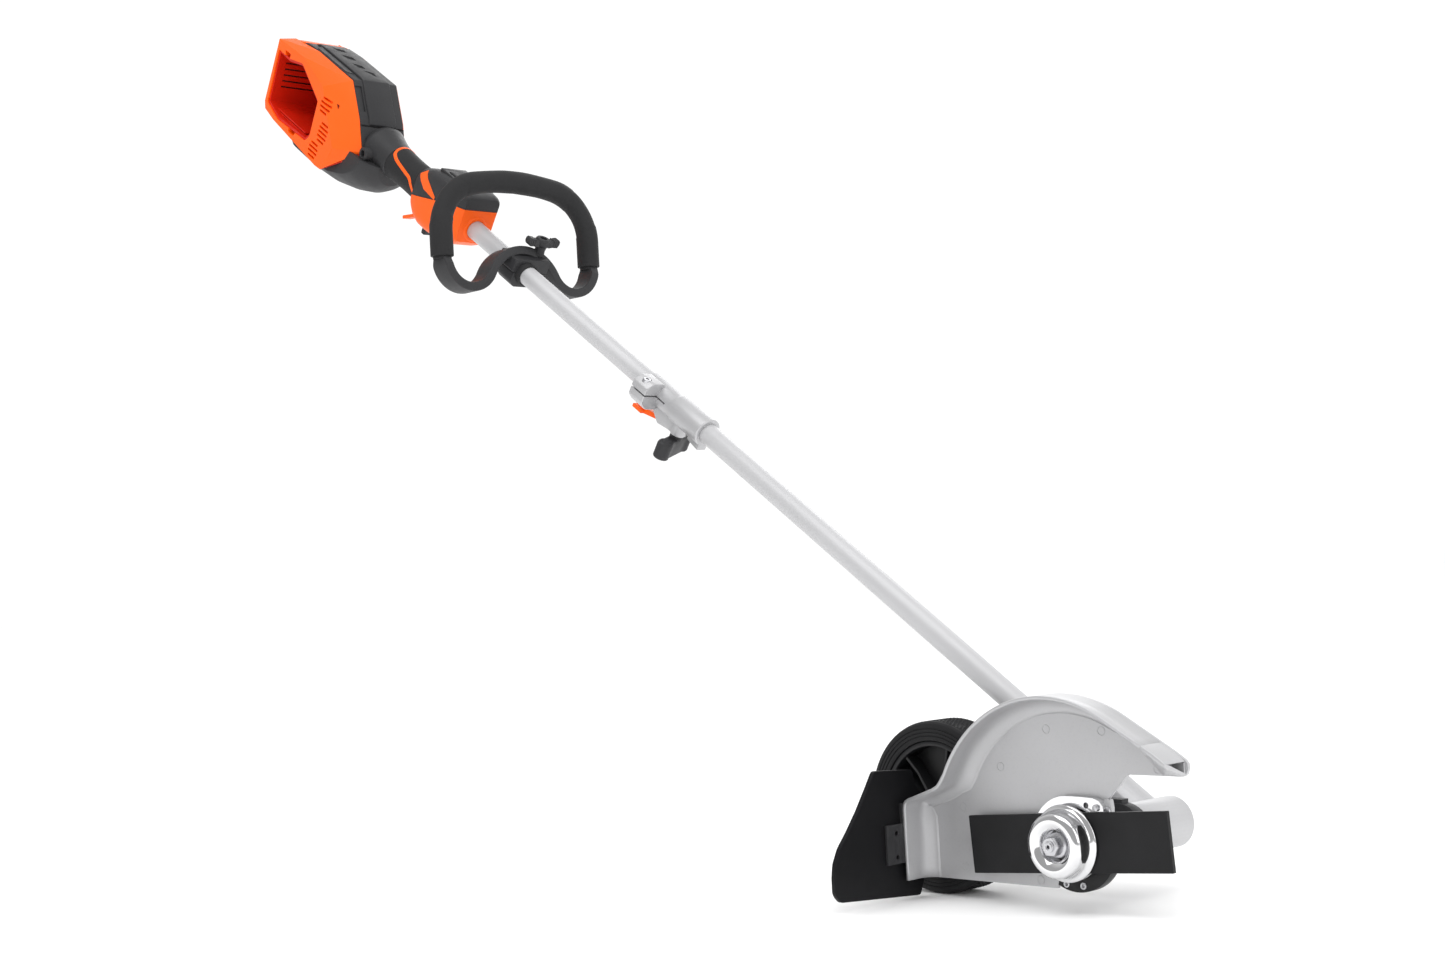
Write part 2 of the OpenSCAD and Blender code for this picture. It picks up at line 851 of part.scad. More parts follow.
module arbor() {
    color("silver") head_frame() difference() {
        union() {
            along_arbor(-26) cylinder(r = 5, h = 40);
            along_arbor(disc_back + 1) cylinder(r = arbor_r, h = tube_side - 4 - disc_back - 1);
        }
        along_arbor(-27) cylinder(r = 1.6, h = 9);
    }
}

module arbor_bearings() {
    color("silver") head_frame() for (y = [20, 96])
        along_arbor(y) ring(arbor_bearing_r, arbor_r + run_gap, 8);
}

disc_r = 40.5;
lock_hole = [20, 33];
lock_r = 2.6;
disc_screw_at = [31, 31.5];

module drive_disc() {
    color("whitesmoke") head_frame() difference() {
        union() {
            along_arbor(blade_back) cylinder(r = disc_r, h = disc_back - blade_back);
            side_plate(blade_back, disc_back) polygon([[2, 40], [27, 40], [37, 34], [40, 6]]);
        }
        along_arbor(0) cylinder(r = 5, h = 20);
        side_plate(0, 20) translate(lock_hole) circle(lock_r);
        side_plate(0, 20) translate(disc_screw_at) circle(2.1);
    }
}

module disc_screw() {
    color("silver") head_frame() {
        side_plate(blade_back, disc_back) translate(disc_screw_at) circle(2);
        side_plate(2, blade_back) translate(disc_screw_at) circle(3);
    }
}

module blade() {
    color("black") head_frame() rotate([0, -blade_tilt, 0]) difference() {
        side_plate(0, blade_back) square([blade_length, blade_width], center = true);
        along_arbor(-1) cylinder(r = 5, h = 10);
    }
}

// Chrome cup: rounded front ring, straight skirt, recessed middle that holds the nut
module clamp_cup() {
    color("whitesmoke") head_frame() along_arbor(-cup_depth) rotate_extrude() difference() {
        union() {
            translate([5, 10]) square([18.6, cup_depth - 10]);
            translate([18, 5]) square([10.6, cup_depth - 5]);
            translate([23.6, 5]) circle(5);
            translate([18, 5]) circle(5);
            translate([18, 0]) square([5.6, 5]);
            translate([28, cup_depth - 5]) polygon([[0, 0], [5.7, 2], [5.7, 5], [0, 5]]);
        }
        translate([0, -1]) square([13.2, 11]);
        translate([5, 14]) square([17, 9]);
    }
}

module blade_nut() {
    color("silver") head_frame() along_arbor(-24) difference() {
        union() {
            cylinder(r = 8, h = 9, $fn = 6);
            translate([0, 0, 9]) cylinder(r = 11, h = 3.5);
        }
        translate([0, 0, -1]) cylinder(r = 5, h = 20);
    }
}

/* ---- Guard ---- */

tangent_a = 60;
nose_x = 118;
nose_block = 97;
nose_floor = 60;
front_edge = 38;

// Height of the straight top edge of the nose at a given x
function nose_top(x, inset) =
    (guard_r - inset - (x + guard_back) * cos(tangent_a)) / sin(tangent_a);

module guard_outline(inset) {
    top_x = -guard_back + (guard_r - inset) * cos(tangent_a);
    rear = -rear_wall_back + inset;
    intersection() {
        translate([-guard_back, 0]) circle(guard_r - inset, $fn = 128);
        translate([-130, -guard_drop]) square([130 + top_x, 200]);
    }
    polygon([[0, 0], [front_edge, 0], [front_edge, 37], [nose_floor, nose_floor + inset],
        [nose_x - inset, nose_floor + inset], [nose_x + 4 - inset, 67],
        [nose_x - inset, nose_top(nose_x, inset)],
        [top_x, nose_top(top_x, inset)], [0, 80]]);
    translate([-60, -guard_drop]) square([60 + front_edge, 100]);
    // Rear box with its sloping top
    polygon([[rear, -guard_drop], [-60, -guard_drop], [-60, 60], [-124 + inset, 46 - inset],
        [rear + 6, 31.5 - inset], [rear, 26 - inset]]);
}

module guard() {
    color("lightgray") head_frame() difference() {
        union() {
            side_plate(plate_near, plate_back) guard_outline(0);
            side_plate(-rim_near, plate_near) difference() {
                guard_outline(0);
                guard_outline(guard_wall);
                translate([-rear_wall_back + guard_wall, -60]) square([400, 90]);
                translate([-100, -60]) square([157, 140]);
                // The blade sweeps past under the nose
                translate([50, 50]) square([nose_block - 50, 20]);
            }
            side_plate(-rim_near, plate_back) translate([nose_block, nose_floor])
                square([nose_x - nose_block, nose_top(nose_x, 0) - nose_floor]);
        }
        // Open pocket in the front of the nose
        side_plate(-rim_near + 4, plate_near)
            polygon([[100, nose_floor + 4], [130, nose_floor + 4], [130, 74], [100, 74]]);
        along_arbor(plate_near - 1) cylinder(r = 15, h = 10);
        // The plate stops short of the skid shoe
        side_plate(plate_near - 1, plate_back + 1) difference() {
            polygon(skid_outline);
            circle(skid_in - 0.3);
        }
        guard_plate_holes();
        flap_screw_holes(2.1);
        skid_rivet_holes(2);
    }
}

module guard_plate_holes() {
    for (a = [0 : 90 : 270])
        rotate([0, a + 45, 0]) translate([screw_circle, plate_near - 1, 0])
            rotate([-90, 0, 0]) cylinder(r = 2.5, h = 12);
}

/* ---- Skid shoe ---- */

skid_r = 44;
skid_in = 32.3;
skid_outline = [[-26, -60], [-19, -30], [60, -20], [60, -60]];
rivet_places = [[-12, -37.5], [6, -38]];

module skid_shoe() {
    color("black") head_frame() difference() {
        side_plate(plate_near + 0.1, plate_back + 7) intersection() {
            difference() {
                circle(skid_r);
                circle(skid_in);
            }
            polygon(skid_outline);
        }
        along_arbor(plate_back) cylinder(r = flange_r, h = 20);
        skid_rivet_holes(2);
    }
}

module skid_rivet_holes(r) {
    for (p = rivet_places) side_plate(plate_near - 1, plate_back + 20) translate(p) circle(r);
}

module skid_rivets() {
    color("silver") head_frame() {
        for (p = rivet_places) {
            side_plate(plate_near, plate_back + 7) translate(p) circle(2);
            side_plate(plate_near - 0.7, plate_near + 0.1) translate(p) circle(3.2);
        }
    }
}

/* ---- Wheel ---- */

arm_near = wheel_near + wheel_width + 5;
arm_thick = 12;
axle_r = 5;
rim_r = 62;
hub_r = 18;
spokes = 5;

module at_axle() {
    translate([-wheel_back, 0, wheel_up]) children();
}

module wheel_arm() {
    color("dimgray") head_frame() difference() {
        union() {
            along_arbor(arm_near) cylinder(r = neck_r + 8, h = arm_thick);
            at_axle() along_arbor(arm_near) cylinder(r = 14, h = arm_thick);
            side_plate(arm_near + 1, arm_near + arm_thick - 1)
                polygon([[-4, -28], [4, 29], [-wheel_back, wheel_up + 13],
                    [-wheel_back - 3, wheel_up - 13]]);
        }
        along_arbor(arm_near - 1) cylinder(r = neck_r + run_gap, h = arm_thick + 2);
        at_axle() along_arbor(arm_near - 1) cylinder(r = axle_r, h = arm_thick + 2);
    }
}

module wheel_axle() {
    color("silver") head_frame() at_axle() {
        along_arbor(wheel_near - 3) cylinder(r = axle_r, h = arm_near + arm_thick + 10 - wheel_near + 3);
        along_arbor(wheel_near - 6) cylinder(r = 9, h = 4);
        along_arbor(arm_near + arm_thick) cylinder(r = 8.5, h = 7, $fn = 6);
    }
}

module wheel_hub() {
    color("black") head_frame() at_axle() difference() {
        union() {
            along_arbor(wheel_near) ring(hub_r, axle_r + run_gap, wheel_width + 2);
            along_arbor(wheel_near + 4) ring(rim_r, rim_r - 5, wheel_width - 8);
            along_arbor(wheel_near + 20) ring(rim_r - 5, hub_r, 4);
            for (i = [0 : spokes - 1])
                rotate([0, i * 360 / spokes, 0])
                    translate([hub_r - 1, wheel_near + 8, -3])
                        cube([rim_r - hub_r - 3, wheel_width - 16, 6]);
        }
        for (i = [0 : spokes - 1])
            rotate([0, (i + 0.5) * 360 / spokes, 0])
                translate([38, 0, 0]) along_arbor(wheel_near) cylinder(r = 12, h = wheel_width);
    }
}

module tyre() {
    color("black") head_frame() at_axle() along_arbor(wheel_near) rotate_extrude($fn = 128) difference() {
        union() {
            translate([rim_r, 3]) square([wheel_r - rim_r, wheel_width - 6]);
            translate([rim_r, 0]) square([wheel_r - rim_r - 3, wheel_width]);
            for (z = [3, wheel_width - 3]) translate([wheel_r - 3, z]) circle(3);
        }
        for (i = [0 : 6])
            translate([wheel_r - 1.2, 5.5 + i * 5.1]) square([2, 2.2]);
    }
}

/* ---- Mud flap ---- */

flap_near = 178;
flap_thick = 5;
flap_outline = [[-47, 61], [5, 57], [6, 49], [8, 42], [15, 35], [15, -40], [7, -59], [-98, -51],
    [-101, -49], [-106, -43], [-106, -28], [-104, -16], [-97, -3], [-85, 10], [-71, 27], [-58, 45]];
flap_screw_places = [[-25, 2], [-25, -20], [2, 21]];

module flap_slab(x0, x1) {
    translate([x0, 0, 0]) rotate([90, 0, 90]) linear_extrude(x1 - x0) children();
}

module mud_flap() {
    color("black") head_frame() difference() {
        flap_slab(-flap_near - flap_thick, -flap_near) polygon(flap_outline);
        flap_screw_holes(2.1);
    }
}

module flap_screw_holes(r) {
    for (p = flap_screw_places) flap_slab(-flap_near - 12, -flap_near + 16) translate(p) circle(r);
}

module flap_bracket() {
    color("black") head_frame() difference() {
        union() {
            flap_slab(-flap_near, -rear_wall_back) translate([-17, -26]) square([26, 54]);
            flap_slab(-flap_near, -flap_near + 3) translate([-38, -26]) square([22, 36]);
        }
        flap_screw_holes(2.1);
    }
}

module flap_screws() {
    color("silver") head_frame() for (p = flap_screw_places) {
        flap_slab(-flap_near - 8, -flap_near + 12) translate(p) circle(2);
        flap_slab(-flap_near - 8, -flap_near - flap_thick) translate(p) circle(4);
    }
}

shell_left();
shell_right();
bay_liner();
battery_contacts();
top_cover();
badge_plate();
motor_housing();
motor_stator();
motor_rotor();
motor_flange();
controller();
rear_grip();
grip_inlay();
control_upper();
control_lower();
keypad();
power_button();
mode_button();
trigger();
lockout_lever();
lever_pins();
upper_tube();
upper_shaft();
upper_bushes();
coupling_body();
coupling_screw();
coupling_latch();
coupling_knob();
lower_tube();
lower_shaft();
lower_bushes();
handle_sleeve();
loop_frame();
loop_grip();
handle_clamp();
handle_knob();
gear_housing();
housing_screws();
bevel_pinion();
bevel_gear();
pinion_bearings();
arbor();
arbor_bearings();
drive_disc();
disc_screw();
blade();
clamp_cup();
blade_nut();
guard();
guard_screws();
skid_shoe();
skid_rivets();
wheel_arm();
wheel_axle();
wheel_hub();
tyre();
mud_flap();
flap_bracket();
flap_screws();
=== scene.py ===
import json
import math

import bmesh
import bpy
from mathutils import Matrix, Vector


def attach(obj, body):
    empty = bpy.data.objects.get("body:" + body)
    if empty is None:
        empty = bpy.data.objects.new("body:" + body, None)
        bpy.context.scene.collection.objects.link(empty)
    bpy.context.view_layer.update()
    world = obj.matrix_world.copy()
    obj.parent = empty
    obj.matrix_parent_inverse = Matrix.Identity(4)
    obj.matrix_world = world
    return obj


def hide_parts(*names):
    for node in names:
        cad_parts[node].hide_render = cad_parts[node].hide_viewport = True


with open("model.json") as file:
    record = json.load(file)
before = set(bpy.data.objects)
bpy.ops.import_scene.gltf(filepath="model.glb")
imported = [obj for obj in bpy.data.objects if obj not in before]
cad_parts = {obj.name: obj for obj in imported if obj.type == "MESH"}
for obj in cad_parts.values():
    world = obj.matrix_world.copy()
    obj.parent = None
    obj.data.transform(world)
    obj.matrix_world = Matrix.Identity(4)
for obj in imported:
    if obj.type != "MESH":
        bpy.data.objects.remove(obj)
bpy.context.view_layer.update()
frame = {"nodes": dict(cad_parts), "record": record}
MM = 0.001
TUBE_ANGLE = math.radians(35.4)
ARBOR = Vector((0.626, -0.077, 0.061))
TUBE_SIDE = 0.130

# ---- frames: local millimetres to world metres ----
AXIS_T = Vector((-math.cos(TUBE_ANGLE), 0, math.sin(TUBE_ANGLE)))
AXIS_N = Vector((math.sin(TUBE_ANGLE), 0, math.cos(TUBE_ANGLE)))
AXIS_Y = Vector((0, 1, 0))


def frame_matrix(ax, ay, az, origin):
    m = Matrix((ax * MM, ay * MM, az * MM)).transposed().to_4x4()
    m.translation = origin
    return m


TUBE = frame_matrix(AXIS_N, AXIS_Y, AXIS_T, ARBOR + Vector((0, TUBE_SIDE, 0)))
HEAD = frame_matrix(Vector((1, 0, 0)), Vector((0, 1, 0)), Vector((0, 0, 1)), ARBOR)
# lathe axes: local z is the turning axis
ARBOR_AXIS = frame_matrix(Vector((1, 0, 0)), Vector((0, 0, -1)), Vector((0, 1, 0)), ARBOR)
WHEEL_AXIS = ARBOR_AXIS.copy()
WHEEL_AXIS.translation = ARBOR + Vector((-0.175, 0, 0.0195))
# the loop handle stands upright: local x across, y up, z ahead
LOOP = frame_matrix(Vector((0, 1, 0)), Vector((0, 0, 1)), Vector((1, 0, 0)),
                    TUBE @ Vector((0, 0, 1100)))


# ---- materials ----
def new_material(name):
    mat = bpy.data.materials.new(name)
    mat.use_nodes = True
    nt = mat.node_tree
    return mat, nt, nt.nodes["Principled BSDF"]


def link(nt, a, b):
    nt.links.new(a, b)


def noise_on(nt, vector, scale, detail=4.0, rough=0.55):
    n = nt.nodes.new("ShaderNodeTexNoise")
    n.inputs["Scale"].default_value = scale
    n.inputs["Detail"].default_value = detail
    n.inputs["Roughness"].default_value = rough
    link(nt, vector, n.inputs["Vector"])
    return n.outputs["Fac"]


def spread(nt, value, low, high, frm=0.3, to=0.7):
    n = nt.nodes.new("ShaderNodeMapRange")
    n.inputs["From Min"].default_value = frm
    n.inputs["From Max"].default_value = to
    n.inputs["To Min"].default_value = low
    n.inputs["To Max"].default_value = high
    link(nt, value, n.inputs["Value"])
    return n.outputs["Result"]


def stretched(nt, turn, scale):
    coord = nt.nodes.new("ShaderNodeTexCoord").outputs["Object"]
    first = nt.nodes.new("ShaderNodeMapping")
    first.inputs["Rotation"].default_value = turn
    second = nt.nodes.new("ShaderNodeMapping")
    second.inputs["Scale"].default_value = scale
    link(nt, coord, first.inputs["Vector"])
    link(nt, first.outputs["Vector"], second.inputs["Vector"])
    return second.outputs["Vector"]


def surface(name, colour, rough, metal=0.0, tint=0.08, tint_scale=18, rough_amp=0.06, grain=900,
            grain_depth=0.00004, lines=None, coat=0.0, cells=None, specular=0.5, speck=0.0):
    """A procedural finish: colour and roughness drift, fine grain, optional lines or cells."""
    mat, nt, bsdf = new_material(name)
    coord = nt.nodes.new("ShaderNodeTexCoord").outputs["Object"]
    drift = noise_on(nt, coord, tint_scale, 5)
    mix = nt.nodes.new("ShaderNodeMix")
    mix.data_type = "RGBA"
    dark = [c * (1 - tint) for c in colour]
    light = [min(1.0, c * (1 + tint)) for c in colour]
    mix.inputs["A"].default_value = (*dark, 1)
    mix.inputs["B"].default_value = (*light, 1)
    link(nt, spread(nt, drift, 0, 1), mix.inputs["Factor"])
    tone = mix.outputs["Result"]
    if speck:
        fleck = nt.nodes.new("ShaderNodeMix")
        fleck.data_type = "RGBA"
        fleck.blend_type = "MULTIPLY"
        shade = 1 - speck
        fleck.inputs["B"].default_value = (shade, shade, shade, 1)
        link(nt, spread(nt, noise_on(nt, coord, 420, 3), 0, 1, 0.52, 0.68), fleck.inputs["Factor"])
        link(nt, tone, fleck.inputs["A"])
        tone = fleck.outputs["Result"]
    link(nt, tone, bsdf.inputs["Base Color"])
    fine = noise_on(nt, coord, tint_scale * 4, 6)
    link(nt, spread(nt, fine, rough - rough_amp, rough + rough_amp), bsdf.inputs["Roughness"])
    bsdf.inputs["Metallic"].default_value = metal
    bsdf.inputs["Specular IOR Level"].default_value = specular
    if coat:
        bsdf.inputs["Coat Weight"].default_value = coat
        bsdf.inputs["Coat Roughness"].default_value = 0.25
    normal = None
    heights = [(noise_on(nt, coord, grain, 2), grain_depth)]
    if lines:
        turn, scale, depth = lines
        heights.append((noise_on(nt, stretched(nt, turn, scale), 1.0, 3), depth))
    if cells:
        voronoi = nt.nodes.new("ShaderNodeTexVoronoi")
        voronoi.inputs["Scale"].default_value = cells[0]
        link(nt, coord, voronoi.inputs["Vector"])
        heights.append((voronoi.outputs["Distance"], cells[1]))
    for value, depth in heights:
        bump = nt.nodes.new("ShaderNodeBump")
        bump.inputs["Distance"].default_value = depth
        bump.inputs["Strength"].default_value = 0.8
        link(nt, value, bump.inputs["Height"])
        if normal is not None:
            link(nt, normal, bump.inputs["Normal"])
        normal = bump.outputs["Normal"]
    link(nt, normal, bsdf.inputs["Normal"])
    return mat


M = {
    "orange": surface("OrangeShell", (0.93, 0.108, 0.002), 0.40, tint=0.03, grain=1400,
                      grain_depth=0.00002, specular=0.25),
    "red": surface("LinerRed", (0.60, 0.014, 0.003), 0.36, tint=0.08, grain=900, grain_depth=0.00002,
                   specular=0.3),
    "black": surface("BlackShell", (0.028, 0.028, 0.030), 0.50, tint=0.12, grain=1600,
                     grain_depth=0.00005, cells=(900, 0.00003), specular=0.3, speck=0.10),
    "rubber": surface("SoftRubber", (0.020, 0.020, 0.021), 0.66, tint=0.15, grain=1100,
                      grain_depth=0.00006, specular=0.22, speck=0.12),
    "flap": surface("FlapRubber", (0.006, 0.006, 0.007), 0.52, tint=0.18, grain=700,
                    grain_depth=0.00006, specular=0.16, lines=((0, 0, 0), (3, 260, 30), 0.00003)),
    "tyre": surface("TyreRubber", (0.010, 0.010, 0.011), 0.60, tint=0.15, grain=900,
                    grain_depth=0.00006, specular=0.25),
    "wheel": surface("WheelPlastic", (0.010, 0.010, 0.011), 0.42, tint=0.15, grain=1100,
                     grain_depth=0.00004, specular=0.3),
    "tube": surface("TubeAluminium", (0.50, 0.50, 0.51), 0.42, metal=0.20, tint=0.02, tint_scale=9,
                    rough_amp=0.03, grain=1800, grain_depth=0.000004, specular=0.4),
    "cast": surface("CastAluminium", (0.50, 0.50, 0.51), 0.42, metal=0.50, tint=0.035, tint_scale=10,
                    rough_amp=0.05, grain=520, grain_depth=0.00002, cells=(330, 0.00001), speck=0.03),
    "chrome": surface("Chrome", (0.80, 0.80, 0.81), 0.09, metal=1.0, tint=0.01, rough_amp=0.03,
                      grain=60, grain_depth=0.00001, lines=((0, 0, 0), (30, 900, 30), 0.000003)),
    "steel": surface("MachinedSteel", (0.60, 0.60, 0.62), 0.28, metal=1.0, tint=0.05, grain=700,
                     grain_depth=0.00001, lines=((0, 0, 0), (40, 1200, 40), 0.000005)),
    "blade": surface("BladeSteel", (0.010, 0.010, 0.011), 0.44, tint=0.14, grain=1500, tint_scale=30,
                     grain_depth=0.00004, cells=(1200, 0.00002), specular=0.22, speck=0.10),
    "copper": surface("CopperCoil", (0.62, 0.28, 0.11), 0.35, metal=0.9,
                      lines=((0, 0, 0), (900, 20, 20), 0.00006)),
    "ivory": surface("BushPlastic", (0.80, 0.77, 0.70), 0.5, tint=0.04),
    "board": surface("CircuitBoard", (0.03, 0.17, 0.06), 0.45, tint=0.2, cells=(260, 0.0002)),
    # painted shade: a flat, nearly black, low-gloss finish that stands in for the shade inside slots and
    # grooves
    "dark": surface("PaintedSlotShade", (0.012, 0.010, 0.010), 0.7, tint=0.1, specular=0.1),
    # painted shade: the liner red darkened, as it looks in shadow through the vents
    "painted_shade_red": surface("PaintedShadeRed", (0.16, 0.012, 0.004), 0.6, tint=0.1, specular=0.1),
}
SLOT_MATERIAL = {
    "orange_shell": "orange", "liner_red": "red", "black_shell": "black", "soft_rubber": "rubber",
    "tyre_rubber": "tyre", "wheel_plastic": "wheel", "tube_aluminium": "tube",
    "cast_aluminium": "cast", "chrome": "chrome", "steel": "steel", "blade_steel": "blade",
    "copper_coil": "copper", "bush_plastic": "ivory", "board_green": "board",
}
SLOT_OF = {v: k for k, v in SLOT_MATERIAL.items()}
SLOT_OF["flap"] = "soft_rubber"
node_slot = {s["node"]: s["material_slot"] for s in frame["record"]["subparts"]}


# ---- mesh helpers ----
def bevel_modifier(ob, width, segments=3, angle=28):
    b = ob.modifiers.new("edge", "BEVEL")
    b.width = width * MM
    b.segments = segments
    b.limit_method = "ANGLE"
    b.angle_limit = math.radians(angle)
    b.use_clamp_overlap = True
    b.harden_normals = True


def to_object(name, bm, matrix, body, nodes=(), material="black", bevel=0.5, segments=3, angle=28,
              smooth=True):
    bmesh.ops.recalc_face_normals(bm, faces=bm.faces)
    bm.transform(matrix)
    mesh = bpy.data.meshes.new(name)
    bm.to_mesh(mesh)
    bm.free()
    mesh.polygons.foreach_set("use_smooth", [smooth] * len(mesh.polygons))
    ob = bpy.data.objects.new(name, mesh)
    bpy.context.scene.collection.objects.link(ob)
    mesh.materials.append(M[material])
    if bevel:
        bevel_modifier(ob, bevel, segments, angle)
    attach(ob, body)
    if nodes:
        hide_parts(*nodes)
    return ob


def prism_bm(points, w0, w1, plane="xz"):
    """Extrudes an outline: (x, z) along y, or with plane yz, (y, z) along x."""
    bm = bmesh.new()

    def place(p, w):
        return (p[0], w, p[1]) if plane == "xz" else (w, p[0], p[1])

    low = [bm.verts.new(place(p, w0)) for p in points]
    high = [bm.verts.new(place(p, w1)) for p in points]
    n = len(points)
    bm.faces.new(low[::-1])
    bm.faces.new(high)
    for i in range(n):
        j = (i + 1) % n
        bm.faces.new((low[i], low[j], high[j], high[i]))
    return bm


def box(u0, u1, v0, v1):
    """The outline of a rectangle."""
    return [(u0, v0), (u1, v0), (u1, v1), (u0, v1)]


def arc(cx, cy, r, a0, a1, n):
    """Points of an arc from a0 to a1 degrees, in n steps."""
    return [(cx + r * math.cos(math.radians(a0 + (a1 - a0) * i / n)),
             cy + r * math.sin(math.radians(a0 + (a1 - a0) * i / n))) for i in range(n + 1)]


def rounded(points, radius, n=5):
    """Rounds the corners of an outline. radius is one number, or one for each corner."""
    out = []
    count = len(points)
    radii = radius if isinstance(radius, (list, tuple)) else [radius] * count
    for i in range(count):
        p = Vector(points[i])
        a = Vector(points[i - 1]) - p
        b = Vector(points[(i + 1) % count]) - p
        r = min(radii[i], a.length * 0.48, b.length * 0.48)
        if r < 0.05:
            out.append(tuple(p))
            continue
        s, e = p + a.normalized() * r, p + b.normalized() * r
        for k in range(n + 1):
            t = k / n
            q = s * (1 - t) ** 2 + p * 2 * t * (1 - t) + e * t * t
            out.append(tuple(q))
    return out


def lathe_bm(profile, steps=96, closed=False, ribs=None):
    """Turns a profile of (radius, height) about local z. ribs(r, h, angle) may change a radius."""
    bm = bmesh.new()
    rings = []
    for r, h in profile:
        if r < 1e-6:
            rings.append([bm.verts.new((0, 0, h))])
            continue
        ring = []
        for i in range(steps):
            a = 2 * math.pi * i / steps
            q = ribs(r, h, a) if ribs else r
            ring.append(bm.verts.new((q * math.cos(a), q * math.sin(a), h)))
        rings.append(ring)
    pairs = list(zip(rings, rings[1:]))
    if closed:
        pairs.append((rings[-1], rings[0]))
    for a, b in pairs:
        for i in range(steps):
            j = (i + 1) % steps
            if len(a) == 1 and len(b) == 1:
                continue
            if len(a) == 1:
                bm.faces.new((a[0], b[i], b[j]))
            elif len(b) == 1:
                bm.faces.new((a[i], a[j], b[0]))
            else:
                bm.faces.new((a[i], a[j], b[j], b[i]))
    return bm


def loft_bm(sections):
    """Joins closed sections with the same number of points, and closes both ends."""
    bm = bmesh.new()
    rings = [[bm.verts.new(p) for p in s] for s in sections]
    n = len(rings[0])
    for a, b in zip(rings, rings[1:]):
        for i in range(n):
            j = (i + 1) % n
            bm.faces.new((a[i], a[j], b[j], b[i]))
    bm.faces.new(rings[0][::-1])
    bm.faces.new(rings[-1])
    return bm


def slab_bm(outline, s0, s1):
    """A plate across the tube: an outline of (n, y) from s0 to s1."""
    return loft_bm([[(n, y, s) for n, y in outline] for s in (s0, s1)])


def hull_bm(points):
    bm = bmesh.new()
    for p in points:
        bm.verts.new(p)
    res = bmesh.ops.convex_hull(bm, input=bm.verts)
    loose = res["geom_interior"] + res["geom_unused"]
    inside = [g for g in loose if isinstance(g, bmesh.types.BMVert)]
    bmesh.ops.delete(bm, geom=list(set(inside)), context="VERTS")
    bmesh.ops.dissolve_limit(bm, angle_limit=math.radians(1), verts=bm.verts, edges=bm.edges)
    return bm


def temp_object(bm):
    mesh = bpy.data.meshes.new("tmp")
    bmesh.ops.recalc_face_normals(bm, faces=bm.faces)
    bm.to_mesh(mesh)
    bm.free()
    ob = bpy.data.objects.new("tmp", mesh)
    bpy.context.scene.collection.objects.link(ob)
    return ob


def evaluated_bm(ob):
    dg = bpy.context.evaluated_depsgraph_get()
    bm = bmesh.new()
    bm.from_object(ob, dg)
    return bm


def rounded_solid(bm, width, segments=3, angle=20):
    ob = temp_object(bm)
    b = ob.modifiers.new("b", "BEVEL")
    b.width = width
    b.segments = segments
    b.limit_method = "ANGLE"
    b.angle_limit = math.radians(angle)
    out = evaluated_bm(ob)
    bpy.data.objects.remove(ob)
    return out


def boolean(bm, cutters, operation="DIFFERENCE"):
    base = temp_object(bm)
    tools = [temp_object(c) for c in cutters]
    for t in tools:
        m = base.modifiers.new("bool", "BOOLEAN")
        m.operation = operation
        m.solver = "EXACT"
        m.object = t
    out = evaluated_bm(base)
    for o in [base] + tools:
        bpy.data.objects.remove(o)
    bmesh.ops.remove_doubles(out, verts=out.verts, dist=0.002)
    bmesh.ops.dissolve_limit(out, angle_limit=math.radians(0.5), verts=out.verts, edges=out.edges)
    return out


def cylinder_bm(centre, axis, r, length, steps=40):
    """A closed cylinder from centre along axis, in local millimetres."""
    axis = Vector(axis).normalized()
    bm = lathe_bm([(0, 0), (r, 0), (r, length), (0, length)], steps)
    m = axis.to_track_quat("Z", "Y").to_matrix().to_4x4()
    m.translation = Vector(centre)
    bm.transform(m)
    return bm


def facing_near(x, y, z):
    """Stands a lathe's axis along -y at a point, so that its heights point to the near side."""
    m = Matrix.Rotation(math.radians(90), 4, "X")
    m.translation = Vector((x, y, z))
    return m


def join_bm(parts):
    out = bmesh.new()
    for p in parts:
        mesh = bpy.data.meshes.new("t")
        p.to_mesh(mesh)
        p.free()
        out.from_mesh(mesh)
        bpy.data.meshes.remove(mesh)
    return out


def screw_head(name, centre, axis, r, height, matrix, body, nodes=(), material="steel", hex_r=None):
    """A domed screw head with a hexagon socket."""
    profile = [(0, 0), (r, 0), (r, height * 0.6), (r * 0.93, height * 0.86), (r * 0.8, height),
               (0, height)]
    bm = lathe_bm(profile, 36)
    axis = Vector(axis).normalized()
    m = axis.to_track_quat("Z", "Y").to_matrix().to_4x4()
    m.translation = Vector(centre)
    bm.transform(m)
    socket = cylinder_bm(Vector(centre) + axis * height * 0.45, axis, hex_r or r * 0.5, height * 2, 6)
    bm = boolean(bm, [socket])
    return to_object(name, bm, matrix, body, nodes, material, bevel=0.15, segments=2)


# ---- every CAD node: its finish, and softened edges ----
EDGE = {"guard": 1.0, "gear_housing": 1.5, "coupling_body": 1.0, "wheel_arm": 1.6, "motor_housing": 1.2,
        "rear_grip": 0.6, "handle_sleeve": 0.6, "keypad": 0.8, "mud_flap": 1.0, "flap_bracket": 0.8}
for name, node in frame["nodes"].items():
    key = SLOT_MATERIAL[node_slot[name]]
    if name == "mud_flap":
        key = "flap"
    node.data.materials.clear()
    node.data.materials.append(M[key])
    weld = node.modifiers.new("weld", "WELD")
    weld.merge_threshold = 0.00001
    flat = node.modifiers.new("flat", "DECIMATE")
    flat.decimate_type = "DISSOLVE"
    flat.angle_limit = math.radians(0.6)
    bevel_modifier(node, EDGE.get(name, 0.4), 2, 32)
    node.data.polygons.foreach_set("use_smooth", [True] * len(node.data.polygons))

